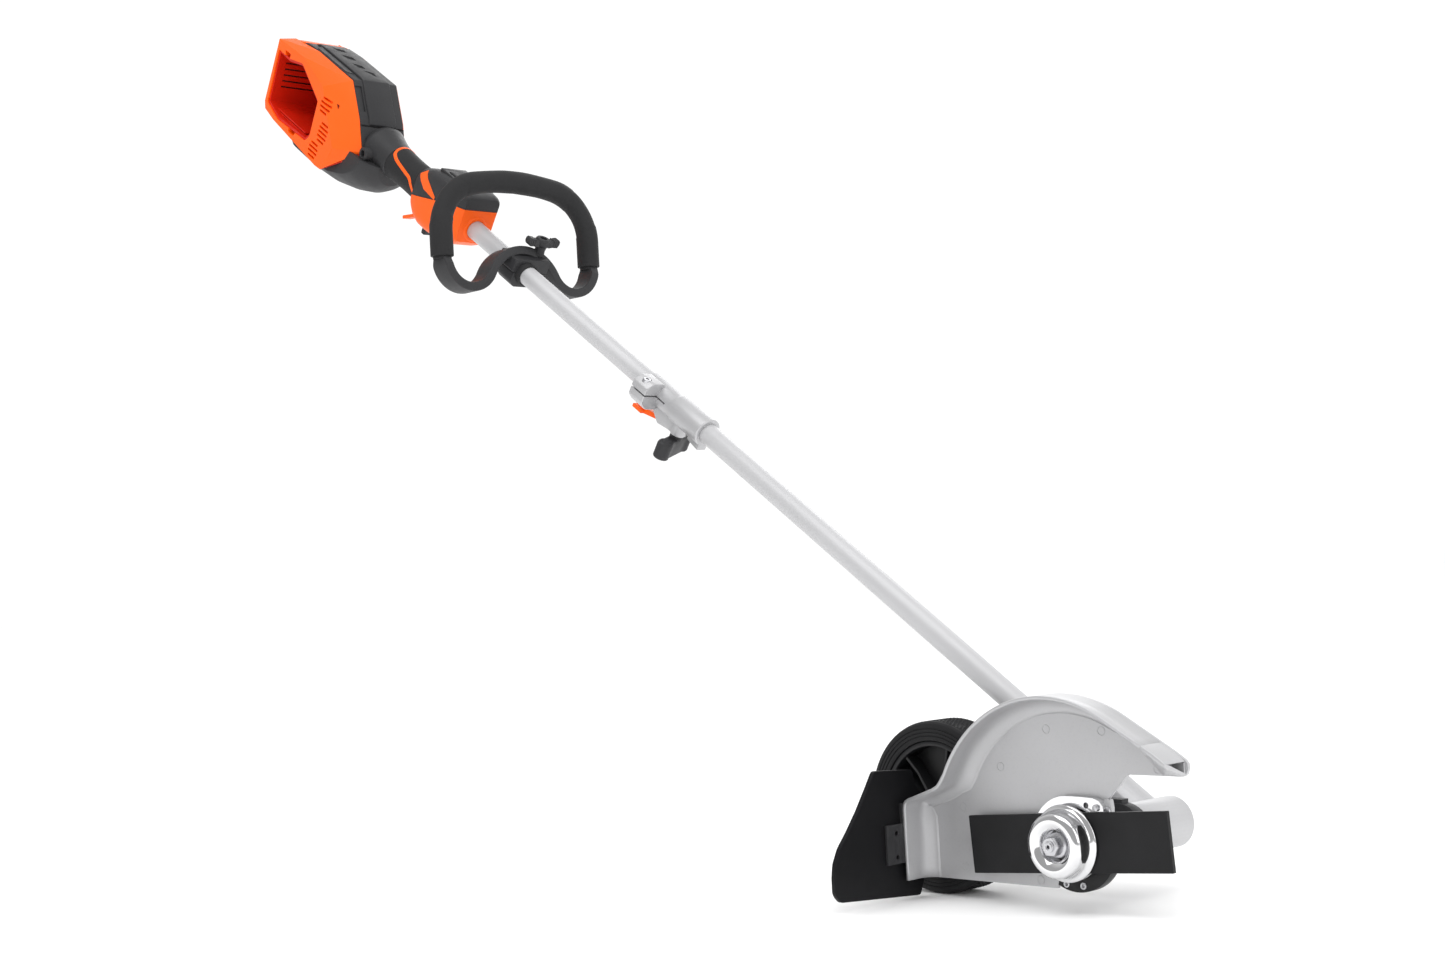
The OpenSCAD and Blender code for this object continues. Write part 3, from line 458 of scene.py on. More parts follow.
# ---- clamp cup, nut and arbor end ----
cup = [(13.2, -11.5), (13.2, -15.0), (13.9, -17.2), (15.6, -18.9), (17.8, -20.4), (19.6, -21.2),
       (21.5, -21.5), (23.6, -21.35), (25.6, -20.6), (27.2, -19.3), (28.2, -17.6), (28.6, -15.6),
       (28.6, -12.0), (28.8, -8.0), (29.4, -5.6), (30.6, -4.2), (32.3, -3.5), (33.3, -2.9),
       (33.7, -1.8), (33.4, -0.6), (32.6, -0.1), (24, -0.1), (22, -7.5), (5.4, -7.5), (5.4, -11.5)]
to_object("Cup", lathe_bm(cup, 128, closed=True), ARBOR_AXIS, "blade_set", ["clamp_cup"], "chrome",
          bevel=0)
nut = boolean(rounded_solid(cylinder_bm((0, 0, -24), (0, 0, 1), 9.0, 9.2, 6), 0.6, 2),
              [cylinder_bm((0, 0, -26), (0, 0, 1), 5.02, 20, 48)])
flange = lathe_bm([(5.02, -11.6), (5.02, -15.2), (8.5, -15.4), (10.6, -14.4), (11, -13.4),
                   (11, -11.6)], 64, closed=True)
to_object("NutBody", nut, ARBOR_AXIS, "blade_set", ["blade_nut"], "steel", bevel=0.25, segments=2)
to_object("NutFlange", flange, ARBOR_AXIS, "blade_set", [], "steel", bevel=0.2, segments=2)
nylon = lathe_bm([(4.95, -24.3), (7.2, -24.3), (7.7, -23.9), (7.7, -23.4), (4.95, -23.4)], 48,
                 closed=True)
to_object("NutCollar", nylon, ARBOR_AXIS, "blade_set", [], "steel", bevel=0.1, segments=1)

# ---- blade ----
tilt = Matrix.Rotation(math.radians(-3.8), 4, "Y")
blade = prism_bm(rounded(box(-107.5, 107.5, -25.75, 25.75), 0.9, 3), 0, 4)
blade.transform(tilt)
to_object("Blade", blade, HEAD, "blade_set", ["blade"], "blade", bevel=0.45, segments=2)

# ---- drive disc: full round with a lobe above, smaller below to clear the shoe ----
disc = arc(0, 0, 40.5, 98, 186, 28) + arc(0, 0, 33, 202, 330, 40)
disc += [(37.6, -9), (40.0, 2), (39.6, 20), (37.4, 33.4), (34.0, 37.2), (27.5, 39.6), (16, 40.2),
         (4, 40.4)]
disc = prism_bm(disc, 4.1, 11)
disc = boolean(disc, [cylinder_bm((20, 0, 33), (0, 1, 0), 2.6, 20),
                      cylinder_bm((0, 0, 0), (0, 1, 0), 5.2, 20)])
to_object("DriveDisc", disc, HEAD, "blade_set", ["drive_disc"], "chrome", bevel=1.1, segments=4)

# ---- guard ----
RIM_X, RIM_R, RIM_END = -8, 128.5, 60
PLATE_Y, NEAR_Y = 12, -17
WALL = 3.5


def nose_top(x):
    """Height of the straight front edge, which leaves the rim's arc on a tangent."""
    end = math.radians(RIM_END)
    return (RIM_R - (x - RIM_X) * math.cos(end)) / math.sin(end)


outer = [(-174, -42), (-174, 23)] + [(-173.2, 28.0), (-171.0, 31.2), (-167, 33.2)]
outer += [(-150, 39.0), (-138, 43.2), (-131.5, 46.6), (-127.2, 51.6)]
outer += arc(RIM_X, 0, RIM_R, 153.2, RIM_END, 48)
outer += [(96, nose_top(96)), (108, nose_top(108)), (114.5, nose_top(114.5) - 0.4),
          (118.6, nose_top(116) - 2.4), (121.2, 71.5), (121.6, 67.0), (119.6, 62.4), (116.5, 60.3),
          (112, 60)]
outer += [(100, 60), (62, 60), (59.5, 59.4), (38.6, 38.6), (38, 36.6), (38, -42)]
plate = prism_bm(outer, PLATE_Y, PLATE_Y + 3.5)
below_shoe = boolean(prism_bm([(-26, -60), (-19, -30), (60, -20), (60, -60)], 5, 22),
                     [cylinder_bm((0, 0, 0), (0, 1, 0), 32, 60, 96)])
plate = boolean(plate, [cylinder_bm((0, 0, 0), (0, 1, 0), 15, 30), below_shoe])
to_object("GuardPlate", plate, HEAD, "attachment", ["guard"], "cast", bevel=0.8)

# the rim with its large inner fillet, swept along the edge as a lofted wall
rim_path = outer[: outer.index((38.6, 38.6)) - 3]
rim_path = [p for p in rim_path if p[0] < 97]


def rim_section(i, path, fillet, near):
    """The rim's wall across its edge, from the plate to the near side, with the fillet inside."""
    a = Vector(path[max(i - 1, 0)])
    b = Vector(path[min(i + 1, len(path) - 1)])
    t = (b - a).normalized()
    nrm = Vector((t.y, -t.x))
    p = Vector(path[i])
    prof = [(0, 12.2), (0, near + 1.2), (0.35, near + 0.35), (1.2, near), (WALL - 1.2, near),
            (WALL - 0.35, near + 0.35), (WALL, near + 1.2), (WALL, 12 - fillet)]
    for k in range(1, 9):
        w = math.pi / 2 * k / 8
        prof.append((WALL + fillet * (1 - math.cos(w)), 12 - fillet + fillet * math.sin(w)))
    prof.append((WALL + fillet, 12.2))
    return [(p.x + nrm.x * d, y, p.y + nrm.y * d) for d, y in prof]


dense = []
for i in range(len(rim_path) - 1):
    a, b = Vector(rim_path[i]), Vector(rim_path[i + 1])
    parts = max(1, int((b - a).length / 9))
    for k in range(parts):
        dense.append(tuple(a.lerp(b, k / parts)))
dense.append(rim_path[-1])
sections = []
for i, p in enumerate(dense):
    f = 14.0
    if p[0] < -128 and p[1] > 22:
        f = 9.0
    if p[0] > 56:
        f = max(2.0, 14.0 - (p[0] - 56) * 0.32)
    sections.append(rim_section(i, dense, f, NEAR_Y))
to_object("GuardRim", loft_bm(sections), HEAD, "attachment", [], "cast", bevel=0)

# nose: a wedge with an open front pocket
nose_pts = []
for x, drop in ((95, 0), (108, 0), (115, 0.6), (119, 1.6)):
    top = nose_top(x) - drop
    nose_pts += [(x, NEAR_Y, top), (x, NEAR_Y, top - 4), (x, 12.5, top), (x, 12.5, 60.5)]
nose = rounded_solid(hull_bm(nose_pts), 1.3, 3, 25)
pocket = [(x, y, z) for x in (107, 126) for y, z in ((-12.5, 72.8), (9.5, 72.8), (9.5, 63.8))]
nose = boolean(nose, [hull_bm(pocket)])
to_object("GuardNose", nose, HEAD, "attachment", [], "cast", bevel=0.4, segments=2)

# ejector-pin marks: thin rings, a little proud of the plate
marks = []
for x, z in ((-24.6, 96.9), (35.1, 96.5), (-78.5, 62.3), (90.8, 65.9), (-125, 24), (-126, -30),
             (-40, -36)):
    ring = lathe_bm([(3.5, 0), (3.55, 0.3), (3.95, 0.3), (4.1, 0)], 40, closed=True)
    ring.transform(facing_near(x, PLATE_Y + 0.02, z))
    marks.append(ring)
to_object("GuardPinMarks", join_bm(marks), HEAD, "attachment", [], "cast", bevel=0)

# small lug with its screw at the front edge of the plate
lug = prism_bm(rounded([(35, 25), (42, 25), (42.5, 31), (41.5, 38.5), (35, 38.5)], 1.6), 9.5, 15)
to_object("GuardLug", lug, HEAD, "attachment", [], "cast", bevel=0.7)
screw_head("GuardLugScrew", (38.6, 9.6, 29), (0, -1, 0), 3.2, 2.2, HEAD, "attachment")

# ---- skid shoe rivets ----
for i, (x, z) in enumerate(((-12, -37.5), (6, -38))):
    bm = lathe_bm([(1.5, -3), (1.5, 0.5), (2.0, 0.68), (2.6, 0.68), (3.1, 0.4), (3.2, 0), (3.2, -0.1),
                   (2, -3)], 40, closed=True)
    bm.transform(facing_near(x, PLATE_Y, z))
    to_object(f"SkidRivet{i + 1}", bm, HEAD, "attachment", ["skid_rivets"] if i == 0 else [], "steel",
              bevel=0)

# ---- wheel ----
WHEEL_Y0, TYRE_R, TYRE_WIDE, TREAD_FROM = 27, 80.5, 44, 5.0
side = [(62, 3.0), (62.4, 1.0), (64.0, 0.2), (66.0, 0.2), (66.3, 0.9), (67.0, 0.9), (67.3, 0.2),
        (69.4, 0.1), (69.7, 0.8), (70.4, 0.8), (70.7, 0.1), (72.8, 0.1), (73.1, 0.9), (73.8, 0.9),
        (74.1, 0.3), (76.0, 0.6), (78.2, 1.6), (79.8, 3.4), (80.3, TREAD_FROM)]
tread = [(TYRE_R, TREAD_FROM + i * 1.0303) for i in range(34)]
tyre_profile = side + tread + [(r, TYRE_WIDE - h) for r, h in side[::-1]]


def tread_block(r, h, a):
    """Sinks the grooves between the tread's rows of small blocks, each row shifted by half a block."""
    pitch, block = 3.1, 3.0
    if r < TYRE_R - 0.1:
        return r
    row = int((h - TREAD_FROM) / pitch)
    along = (a * 180 / math.pi + row * block / 2) % block
    across = (h - TREAD_FROM) % pitch
    return r - 1.0 if along < 1.05 or across < 1.0 else r


tyre = lathe_bm(tyre_profile, 480, closed=True, ribs=tread_block)
m = WHEEL_AXIS @ Matrix.Translation((0, 0, WHEEL_Y0))
to_object("Tyre", tyre, m, "wheel", ["tyre"], "tyre", bevel=0, smooth=False)
rim = lathe_bm([(62, 3), (62, 41), (59.5, 42.6), (57.2, 42.2), (56.6, 40), (57.4, 24), (57.4, 20),
                (56.6, 4), (57.2, 1.8), (59.5, 1.4), (61.6, 2)], 128, closed=True)
hub = lathe_bm([(5.05, 0), (15.5, 0), (17.2, 0.8), (18, 2.6), (18, 43.4), (17.2, 45.2), (15.5, 46),
                (5.05, 46)], 96, closed=True)
web = lathe_bm([(17.6, 19), (34, 20), (57.6, 20.5), (57.6, 23.5), (34, 24), (17.6, 25)], 96,
               closed=True)
# a spoke's stations: radius, spread, half width, low and high face
SPOKE = [(16.5, 0.9, 1.5, 2.5, 41.5), (38, 1.2, 1.4, 7, 37), (58, 1.7, 1.6, 4, 40)]
spokes = []
for k in range(5):
    for off in (-5.2, 5.2):
        a = math.radians(72 * k + 8)
        rib = loft_bm([[(r, off * lean - half, low), (r, off * lean + half, low),
                        (r, off * lean + half - 0.3, high), (r, off * lean - half + 0.3, high)]
                       for r, lean, half, low, high in SPOKE])
        rib.transform(Matrix.Rotation(a, 4, "Z"))
        spokes.append(rib)
bm = join_bm([rim, hub, web] + spokes)
to_object("WheelHub", bm, m, "wheel", ["wheel_hub"], "wheel", bevel=0.7, segments=2)

# ---- powerhead shells ----
# side outlines (n, s): the middle, the outer cheek, the battery liner and its hollow
CORE = [(60, 1665), (68, 1600), (67, 1505), (30, 1465), (3, 1445), (-6, 1437), (-42, 1480),
        (-54, 1520), (-49, 1631), (-44, 1659), (-38, 1667)]
CHEEK = [(54, 1672), (57, 1600), (42, 1538), (-20, 1475), (-57, 1490), (-58, 1503), (-49, 1631),
         (-44, 1659), (-35, 1665)]
LINER = [(41, 1666), (-34, 1658), (-44, 1623), (-40, 1543), (-30, 1535), (20, 1539), (48, 1600),
         (40, 1637)]
BAY = [(38, 1662.5), (-31, 1655), (-40.5, 1622), (-37, 1546), (-28.5, 1538.5), (18, 1542.5),
       (44.5, 1600), (37, 1634)]
# vent groups: n and s of the first slot, and how many
VENTS = [(30, 1520, 4), (-1, 1507, 5), (-33, 1518, 4)]
VENT_PITCH, SLOT_PITCH = 6, 8.3


def shell(side_sign, bay_from):
    """One half shell. The left one (side_sign -1) is open for the battery and has the vents."""
    pts = [(n, y, s) for n, s in CORE for y in (-35, -34)]
    pts += [(n, y, s) for n, s in CHEEK for y in (-55, -54)]
    bm = rounded_solid(hull_bm(pts), 2.4, 4, 8)
    cutters = [prism_bm(rounded(LINER, 3.5), bay_from, -33)]
    cutters.append(cylinder_bm((0, 0, 1464), (0, 0, 1), 35, 54, 64))
    belly = lathe_bm([(0, 1402), (24, 1404), (36, 1414), (46, 1430), (55, 1455), (63, 1490),
                      (67, 1535), (67, 1585), (62, 1597), (0, 1597)], 96)
    belly.transform(Matrix.Translation((-12, 0, 0)))
    belly = boolean(belly, [prism_bm(box(-100, -12, 1390, 1610), -43, 43)], "INTERSECT")
    cutters.append(belly)
    if side_sign < 0:
        for n0, s0, count in VENTS:
            for i in range(count):
                n = n0 - i * VENT_PITCH
                half = 9 if i in (0, count - 1) else 12
                slot = box(n - 1.6, n + 1.6, s0 - half, s0 + half)
                cutters.append(prism_bm(rounded(slot, 1.4, 3), -57, -49))
        # notches in the edge of the battery opening
        for notch, y in (([(38, 1634), (47, 1634), (47, 1650), (38, 1646)], -44),
                         ([(-40, 1570), (-47, 1573), (-47, 1588), (-40, 1590)], -46)):
            cutters.append(prism_bm(rounded(notch, 1.5), -57, y))
    bm = boolean(bm, cutters)
    if side_sign > 0:
        bm.transform(Matrix.Scale(-1, 4, (0, 1, 0)))
        bmesh.ops.reverse_faces(bm, faces=bm.faces)
    return bm


for name, node, side_sign, bay_from in (("ShellLeft", "shell_left", -1, -56),
                                        ("ShellRight", "shell_right", 1, -50)):
    to_object(name, shell(side_sign, bay_from), TUBE, "powerhead", [node], "orange", bevel=0.7,
              segments=3, angle=40)

# ---- battery bay liner with its ribs, rails and slots ----
liner = prism_bm(rounded(LINER, 3.4), -53, 46)
inner = [prism_bm(rounded(BAY, 2.6), -54, 43)]
for i in range(5):
    n = 24 - i * SLOT_PITCH
    inner.append(prism_bm(rounded(box(n - 1.1, n + 1.1, 1640, 1690), 0.3, 1), -41, 25))
liner = boolean(liner, inner)
to_object("BayLiner", liner, TUBE, "powerhead", ["bay_liner"], "red", bevel=0.6, segments=2,
          angle=40)
rails = []
for n, s0, s1 in ((-38.6, 1560, 1640), (-35.4, 1560, 1640)):
    rails.append(prism_bm(box(n - 1, n + 1, s0, s1), -46, 42))
for s in (1556, 1578, 1640):
    rails.append(prism_bm(box(38.5, 46, s, s + 2), -44, 42))
rails = boolean(join_bm(rails), [prism_bm(rounded(LINER, 3.4), -60, 60)], "INTERSECT")
to_object("BayRails", rails, TUBE, "powerhead", [], "red", bevel=0.3, segments=2)
# thin plates that close the slots behind, in flat dark tones: painted shade seen through the liner's
# slots and the vents
shade = prism_bm([(37, 1664.3), (-31, 1656.9), (-31, 1657.9), (37, 1665.3)], -42, 26)
to_object("BayPaintedShade", shade, TUBE, "powerhead", [], "dark", bevel=0)
# painted shade: a dark red plate behind the vents, the liner red as it looks in shadow
shade = prism_bm([(32, 1500), (-54, 1490), (-54, 1534), (32, 1536)], -47.6, -46.8)
to_object("VentPaintedShade", shade, TUBE, "powerhead", [], "painted_shade_red", bevel=0)
# orange bridge between the shells behind the strap
bridge = [(53, 1670.5), (58.5, 1666), (64.5, 1642), (59, 1641), (49, 1663)]
bridge = rounded_solid(prism_bm(bridge, -35, 35), 1.0, 3)
to_object("RearBridge", bridge, TUBE, "powerhead", [], "orange", bevel=0.3, segments=2)

# ---- black cover band over the top and down the front ----
STRAP_TOP = [(62.5, 1644), (66.5, 1634), (69, 1600), (69, 1504), (31, 1463.5), (24, 1458.5)]
STRAP_IN = [(24, 1466), (30, 1470.5), (62, 1508), (62, 1600), (59, 1644)]
band = prism_bm(STRAP_TOP + STRAP_IN, -34, 34)
band = rounded_solid(band, 1.6, 3, 25)
slot_cut = prism_bm([(64.6, 1496), (40, 1470), (37, 1472.5), (62, 1499)], -40, -24)
band = boolean(band, [slot_cut])
to_object("TopCover", band, TUBE, "powerhead", ["top_cover"], "black", bevel=0.5, segments=2, angle=40)

RIDGE = [(60, 1640), (65, 1637), (70.4, 1626), (71.9, 1600), (71.8, 1512), (70.6, 1503),
         (33.2, 1462.6), (26.5, 1458.2), (22.5, 1459.5), (24, 1466), (60, 1503)]


def ridge_bm():
    """The raised middle of the band, with four slanted recesses."""
    bm = rounded_solid(prism_bm(RIDGE, -21, 21), 1.3, 3, 25)
    cutters = []
    for s, w in ((1612, 9), (1585, 9), (1556, 8)):
        cutters.append(hull_bm([(75, w, s), (75, -w, s + 8), (75, -w + 3, s - 12), (75, w, s - 14),
                                (69.8, w - 2, s - 1), (69.8, -w + 3, s + 4), (69.8, -w + 5, s - 8),
                                (69.8, w - 2, s - 10)]))
    cutters.append(hull_bm([(75, 14, 1534), (75, -4, 1540), (75, 10, 1514), (69.6, 11, 1532),
                            (69.6, 0, 1537), (69.6, 9, 1521)]))
    return boolean(bm, cutters)


to_object("TopRidge", ridge_bm(), TUBE, "powerhead", [], "black", bevel=0.4, segments=2, angle=40)
plate_pts = rounded([(-32.6, 1530), (-23.6, 1524), (-23.6, 1616), (-32.6, 1609)], 1.6)
bm = loft_bm([[(n, y, s) for y, s in plate_pts] for n in (68.8, 70.0)])
to_object("BadgePlate", bm, TUBE, "powerhead", ["badge_plate"], "black", bevel=0.4, segments=2)

# ---- front seam line of the band: a thin dark strip, painted shade standing in for the seam's groove ----
seam = prism_bm([(24.2, 1457.9), (23.4, 1457.3), (23.0, 1458.6), (23.8, 1459.2)], -33, 33)
to_object("BandSeamPaintedShade", seam, TUBE, "powerhead", [], "dark", bevel=0)

# ---- red line under the orange edge ----
under = hull_bm([(-8, -35, 1437.5), (-12, -35, 1438.5), (-58.5, -53, 1491.5), (-60.5, -50, 1496),
                 (-8, -33, 1441), (-12, -30, 1445), (-58, -48, 1500), (-56, -40, 1500)])
under_r = under.copy()
under_r.transform(Matrix.Scale(-1, 4, (0, 1, 0)))
bmesh.ops.reverse_faces(under_r, faces=under_r.faces)
to_object("UnderTrim", join_bm([under, under_r]), TUBE, "powerhead", [], "red", bevel=0.8, segments=2)

# ---- harness eyelet lip ----
lip = lathe_bm([(4.5, 0), (4.6, 1.0), (5.6, 1.5), (7.0, 1.3), (8.2, 0.4), (8.4, 0)], 48, closed=True)
lip.transform(facing_near(-5, -36.6, 1430.5))
to_object("EyeletLip", lip, TUBE, "powerhead", [], "black", bevel=0)

# ---- rear grip with inlay ----
GRIP_R, GRIP_FROM, GRIP_LONG = 23.7, 1318, 78


def waist(s):
    """How much of its end radius the grip keeps at s: thinnest in the middle."""
    return 1.0 - 0.055 * math.sin(math.pi * min(1, max(0, (s - GRIP_FROM) / GRIP_LONG)))


def grip_section(s, n=64):
    """A slightly oval hand section."""
    pts = []
    for i in range(n):
        a = 2 * math.pi * i / n
        r = GRIP_R * waist(s)
        e = 1 + 0.02 * math.cos(2 * a)
        pts.append((r * e * math.cos(a), r * (2 - e) * 0.985 * math.sin(a), s))
    return pts


grip = loft_bm([grip_section(GRIP_FROM + i * 3) for i in range(27)])
to_object("RearGrip", grip, TUBE, "powerhead", ["rear_grip"], "rubber", bevel=0.8, segments=2, angle=50)


def band_on_grip(path, width, height):
    """A raised strip that follows (angle, s) points on the grip."""
    secs = []
    for i, (a, s) in enumerate(path):
        p0, p1 = path[max(i - 1, 0)], path[min(i + 1, len(path) - 1)]
        du, ds = math.radians(p1[0] - p0[0]) * GRIP_R, p1[1] - p0[1]
        length = math.hypot(du, ds) or 1
        tu, ts = -ds / length, du / length
        sec = []
        for off, h in ((-width / 2, -2.0), (-width / 2, height * 0.55), (-width / 2 + 0.5, height),
                       (width / 2 - 0.5, height), (width / 2, height * 0.55), (width / 2, -2.0)):
            ang = math.radians(a) + off * tu / GRIP_R
            rr = GRIP_R * waist(s) + h
            e = 1 + 0.02 * math.cos(2 * ang)
            sec.append((rr * e * math.cos(ang), rr * (2 - e) * math.sin(ang), s + off * ts))
        secs.append(sec)
    return loft_bm(secs)


def smooth_path(points, n=8):
    """A Catmull-Rom curve through the points."""
    out = []
    for i in range(len(points) - 1):
        p0, p1 = Vector(points[max(i - 1, 0)]), Vector(points[i])
        p2, p3 = Vector(points[i + 1]), Vector(points[min(i + 2, len(points) - 1)])
        for k in range(n):
            t = k / n
            out.append(tuple(0.5 * ((2 * p1) + (p2 - p0) * t + (2 * p0 - 5 * p1 + 4 * p2 - p3) * t * t
                                    + (3 * p1 - p0 - 3 * p2 + p3) * t ** 3)))
    out.append(tuple(points[-1]))
    return out


inlay = []
for sgn in (-1, 1):
    route = [(sgn * a, s) for a, s in ((0.5, 1394.6), (26, 1394), (44, 1391), (52, 1386), (60, 1376),
                                       (70, 1352), (76, 1338), (92, 1328), (108, 1319))]
    inlay.append(band_on_grip(smooth_path(route, 6), 4.6, 0.25))
to_object("GripInlay", join_bm(inlay), TUBE, "powerhead", ["grip_inlay"], "orange", bevel=0)

# ---- control housing ----
def control_section(s, top, bottom, half, corner, n=10):
    pts = [(top, -half), (top, half), (bottom, half), (bottom, -half)]
    return [(p[0], p[1], s) for p in rounded(pts, corner, n)]


def control_bm(grow=0.0):
    """The whole housing, from stations of s, top, bottom, half width and corner radius."""
    rows = [(1318, 30, -28, 25.5, 20), (1312, 33, -31, 27.5, 20), (1302, 37, -35, 29.5, 19),
            (1288, 41.5, -38, 30.6, 18), (1270, 44.5, -38, 31, 18), (1244, 46, -36.5, 31, 18),
            (1222, 45.6, -31, 30.2, 15), (1211, 44.6, -24.5, 28.6, 12), (1205, 43.2, -20, 26.4, 10),
            (1203, 41.6, -18.6, 25, 9)]
    return loft_bm([control_section(s, t + grow, b - grow, h + grow, c) for s, t, b, h, c in rows])


def half_space(points, y=60):
    return prism_bm(points, -y, y)


top_part = [(28, 1190), (22, 1226), (-12, 1330), (70, 1330), (70, 1190)]
upper = boolean(control_bm(), [half_space(top_part)], "INTERSECT")
key_bay = rounded(box(-19, 19, 1222, 1284), 5)
upper = boolean(upper, [loft_bm([[(n, y, s) for y, s in key_bay] for n in (40.6, 60)])])
to_object("ControlUpper", upper, TUBE, "powerhead", ["control_upper"], "black", bevel=0.6, segments=2,
          angle=40)
low_part = [(27.6, 1190), (21.6, 1226), (-12.4, 1330), (-70, 1330), (-70, 1190)]
lower = boolean(control_bm(), [half_space(low_part)], "INTERSECT")
lower = boolean(lower, [prism_bm([(-15, 1283), (-15, 1325), (-50, 1325), (-50, 1283)], -15, 15)])
to_object("ControlLower", lower, TUBE, "powerhead", ["control_lower"], "orange", bevel=0.8, segments=2,
          angle=40)
# diagonal stripe panel on both sides of the upper half
stripe = boolean(control_bm(0.35), [prism_bm([(34, 1300), (24, 1313), (12, 1290), (10, 1262), (14, 1262),
                                               (28, 1289)], -60, 60)], "INTERSECT")
to_object("ControlStripe", stripe, TUBE, "powerhead", [], "orange", bevel=0.2, segments=1,
          angle=40)
# collar ring where the tube leaves
collar = lathe_bm([(12.1, 1201.5), (15.2, 1201.5), (17.2, 1203), (18.2, 1206), (18.2, 1209),
                   (12.1, 1209)], 64, closed=True)
to_object("ControlCollar", collar, TUBE, "powerhead", [], "orange", bevel=0.4, segments=2)

# ---- keys ----
def keycap(s, name, node, body):
    """A key that starts at s, with softened edges and a dished top."""
    pts = rounded(box(-13.6, 13.6, s + 0.4, s + 15.6), 3)
    inner_pts = rounded(box(-12.4, 12.4, s + 1.6, s + 14.4), 3)
    dish = [(47.1, y * 0.6, (q - s - 8) * 0.5 + s + 8) for y, q in inner_pts]
    bm = loft_bm([[(42.5, y, q) for y, q in pts], [(46.9, y, q) for y, q in pts],
                  [(47.45, y, q) for y, q in inner_pts], dish])
    to_object(name, bm, TUBE, body, [node], "black", bevel=0)


keycap(1234, "KeyPower", "power_button", "power_key")
keycap(1256, "KeyMode", "mode_button", "mode_key")

# ---- trigger and lockout ----
trig = [(-20, 1291.5), (-40, 1296.6), (-57, 1301), (-57, 1309), (-40, 1309), (-22, 1300.5)]
trig = rounded_solid(prism_bm(rounded(trig, 2.2), 1, 12), 1.2, 3, 30)
to_object("TriggerBlade", trig, TUBE, "throttle", ["trigger"], "black", bevel=0)
lock = rounded([(-25, 1301), (-48, 1339), (-52, 1337), (-31, 1303)], 1.4)
lock = rounded_solid(prism_bm(lock, -13, -1), 1.0, 3, 30)
lockpin = rounded_solid(cylinder_bm((-27, -13, 1304), (0, 1, 0), 4, 12), 0.5, 2, 40)
to_object("LockoutBlade", join_bm([lock, lockpin]), TUBE, "lockout", ["lockout_lever"], "orange", bevel=0)

# ---- coupling (the tubes keep the CAD's meshes) ----
body_lathe = lathe_bm([(12.1, 697), (15.6, 697), (16.8, 698.4), (16.8, 751.4), (15.9, 753.2),
                       (15.4, 754.4), (15.4, 806.4), (14.2, 808), (12.1, 808)], 96, closed=True)
ear = rounded([(-17.5, -8), (-17.5, -25), (-10, -33), (8, -33), (15.5, -25), (15.5, -8)], 3)
ear = rounded_solid(slab_bm(ear, 779, 805), 0.9, 3, 30)
web_pts = [(-6, 742), (-26.5, 733), (-27, 752), (-30, 771), (-10, 800), (-6, 800)]
web = rounded_solid(prism_bm(web_pts, -7, 7), 1.2, 3, 30)
boss = cylinder_bm((-27, 0, 741), (1, 0, 0), 8.5, 16, 40)
stop = rounded([(-22.5, 697), (-13, 697), (-13, 719), (-20, 719)], 2)
stop = rounded_solid(prism_bm(stop, -6, 6), 0.8, 2, 30)
coup = boolean(body_lathe, [ear, web, boss, stop], "UNION")
coup = boolean(coup, [cylinder_bm((0, 0, 690), (0, 0, 1), 12.08, 130, 96),
                      prism_bm(box(-1.0, 1.0, 762, 820), -60, 0),
                      cylinder_bm((-19, -25, 792), (1, 0, 0), 3, 60, 32),
                      cylinder_bm((11, -25, 792), (1, 0, 0), 5.2, 20, 32),
                      prism_bm(box(-40, -15, 764, 812), -4, 4)])
to_object("CouplingBody", coup, TUBE, "powerhead", ["coupling_body"], "cast", bevel=0.7, segments=2,
          angle=40)
screw_head("CouplingScrew", (11.2, -25, 792), (1, 0, 0), 5.0, 4.3, TUBE, "powerhead", ["coupling_screw"],
           hex_r=2.6)

# wing knob of the coupling
knob_turn = Matrix.Rotation(math.radians(25), 4, "X")


def wing_knob(centre, half_len, lobe_r, web_half, depth0, depth1, turn):
    """A two-lobed knob: waisted plate with round lobes. Local x is the knob's axis."""
    pts = []
    for side in (1, -1):
        cx = side * (half_len - lobe_r)
        a0, a1 = (-128, 128) if side > 0 else (52, 308)
        pts += arc(cx, 0, lobe_r, a0, a1, 18)
        pts += [(side * half_len * 0.28, web_half * side), (side * -half_len * 0.28, web_half * side)]
    bm = loft_bm([[(x, y * ky, z * kz) for y, z in pts]
                  for x, ky, kz in ((depth0 + 1.5, 0.96, 0.9), (depth0 + 3, 1, 1), (depth1 - 3, 1, 1),
                                    (depth1 - 1, 0.97, 0.93), (depth1, 0.92, 0.82))])
    bm.transform(turn)
    bm.transform(Matrix.Translation(centre))
    return bm


knob = wing_knob((-41, 0, 741), 34, 9.2, 7.2, -12, 10, knob_turn)
to_object("CouplingKnob", knob, TUBE, "coupling_knob", ["coupling_knob"], "black", bevel=0.8,
          segments=2, angle=35)
collar = cylinder_bm((-33, 0, 741), (1, 0, 0), 7.6, 5.6, 40)
to_object("CouplingKnobNeck", collar, TUBE, "coupling_knob", [], "black", bevel=0.6, segments=2)
stud = cylinder_bm((-33, 0, 741), (1, 0, 0), 3.0, 16, 32)
to_object("CouplingStud", stud, TUBE, "coupling_knob", [], "steel", bevel=0.3)

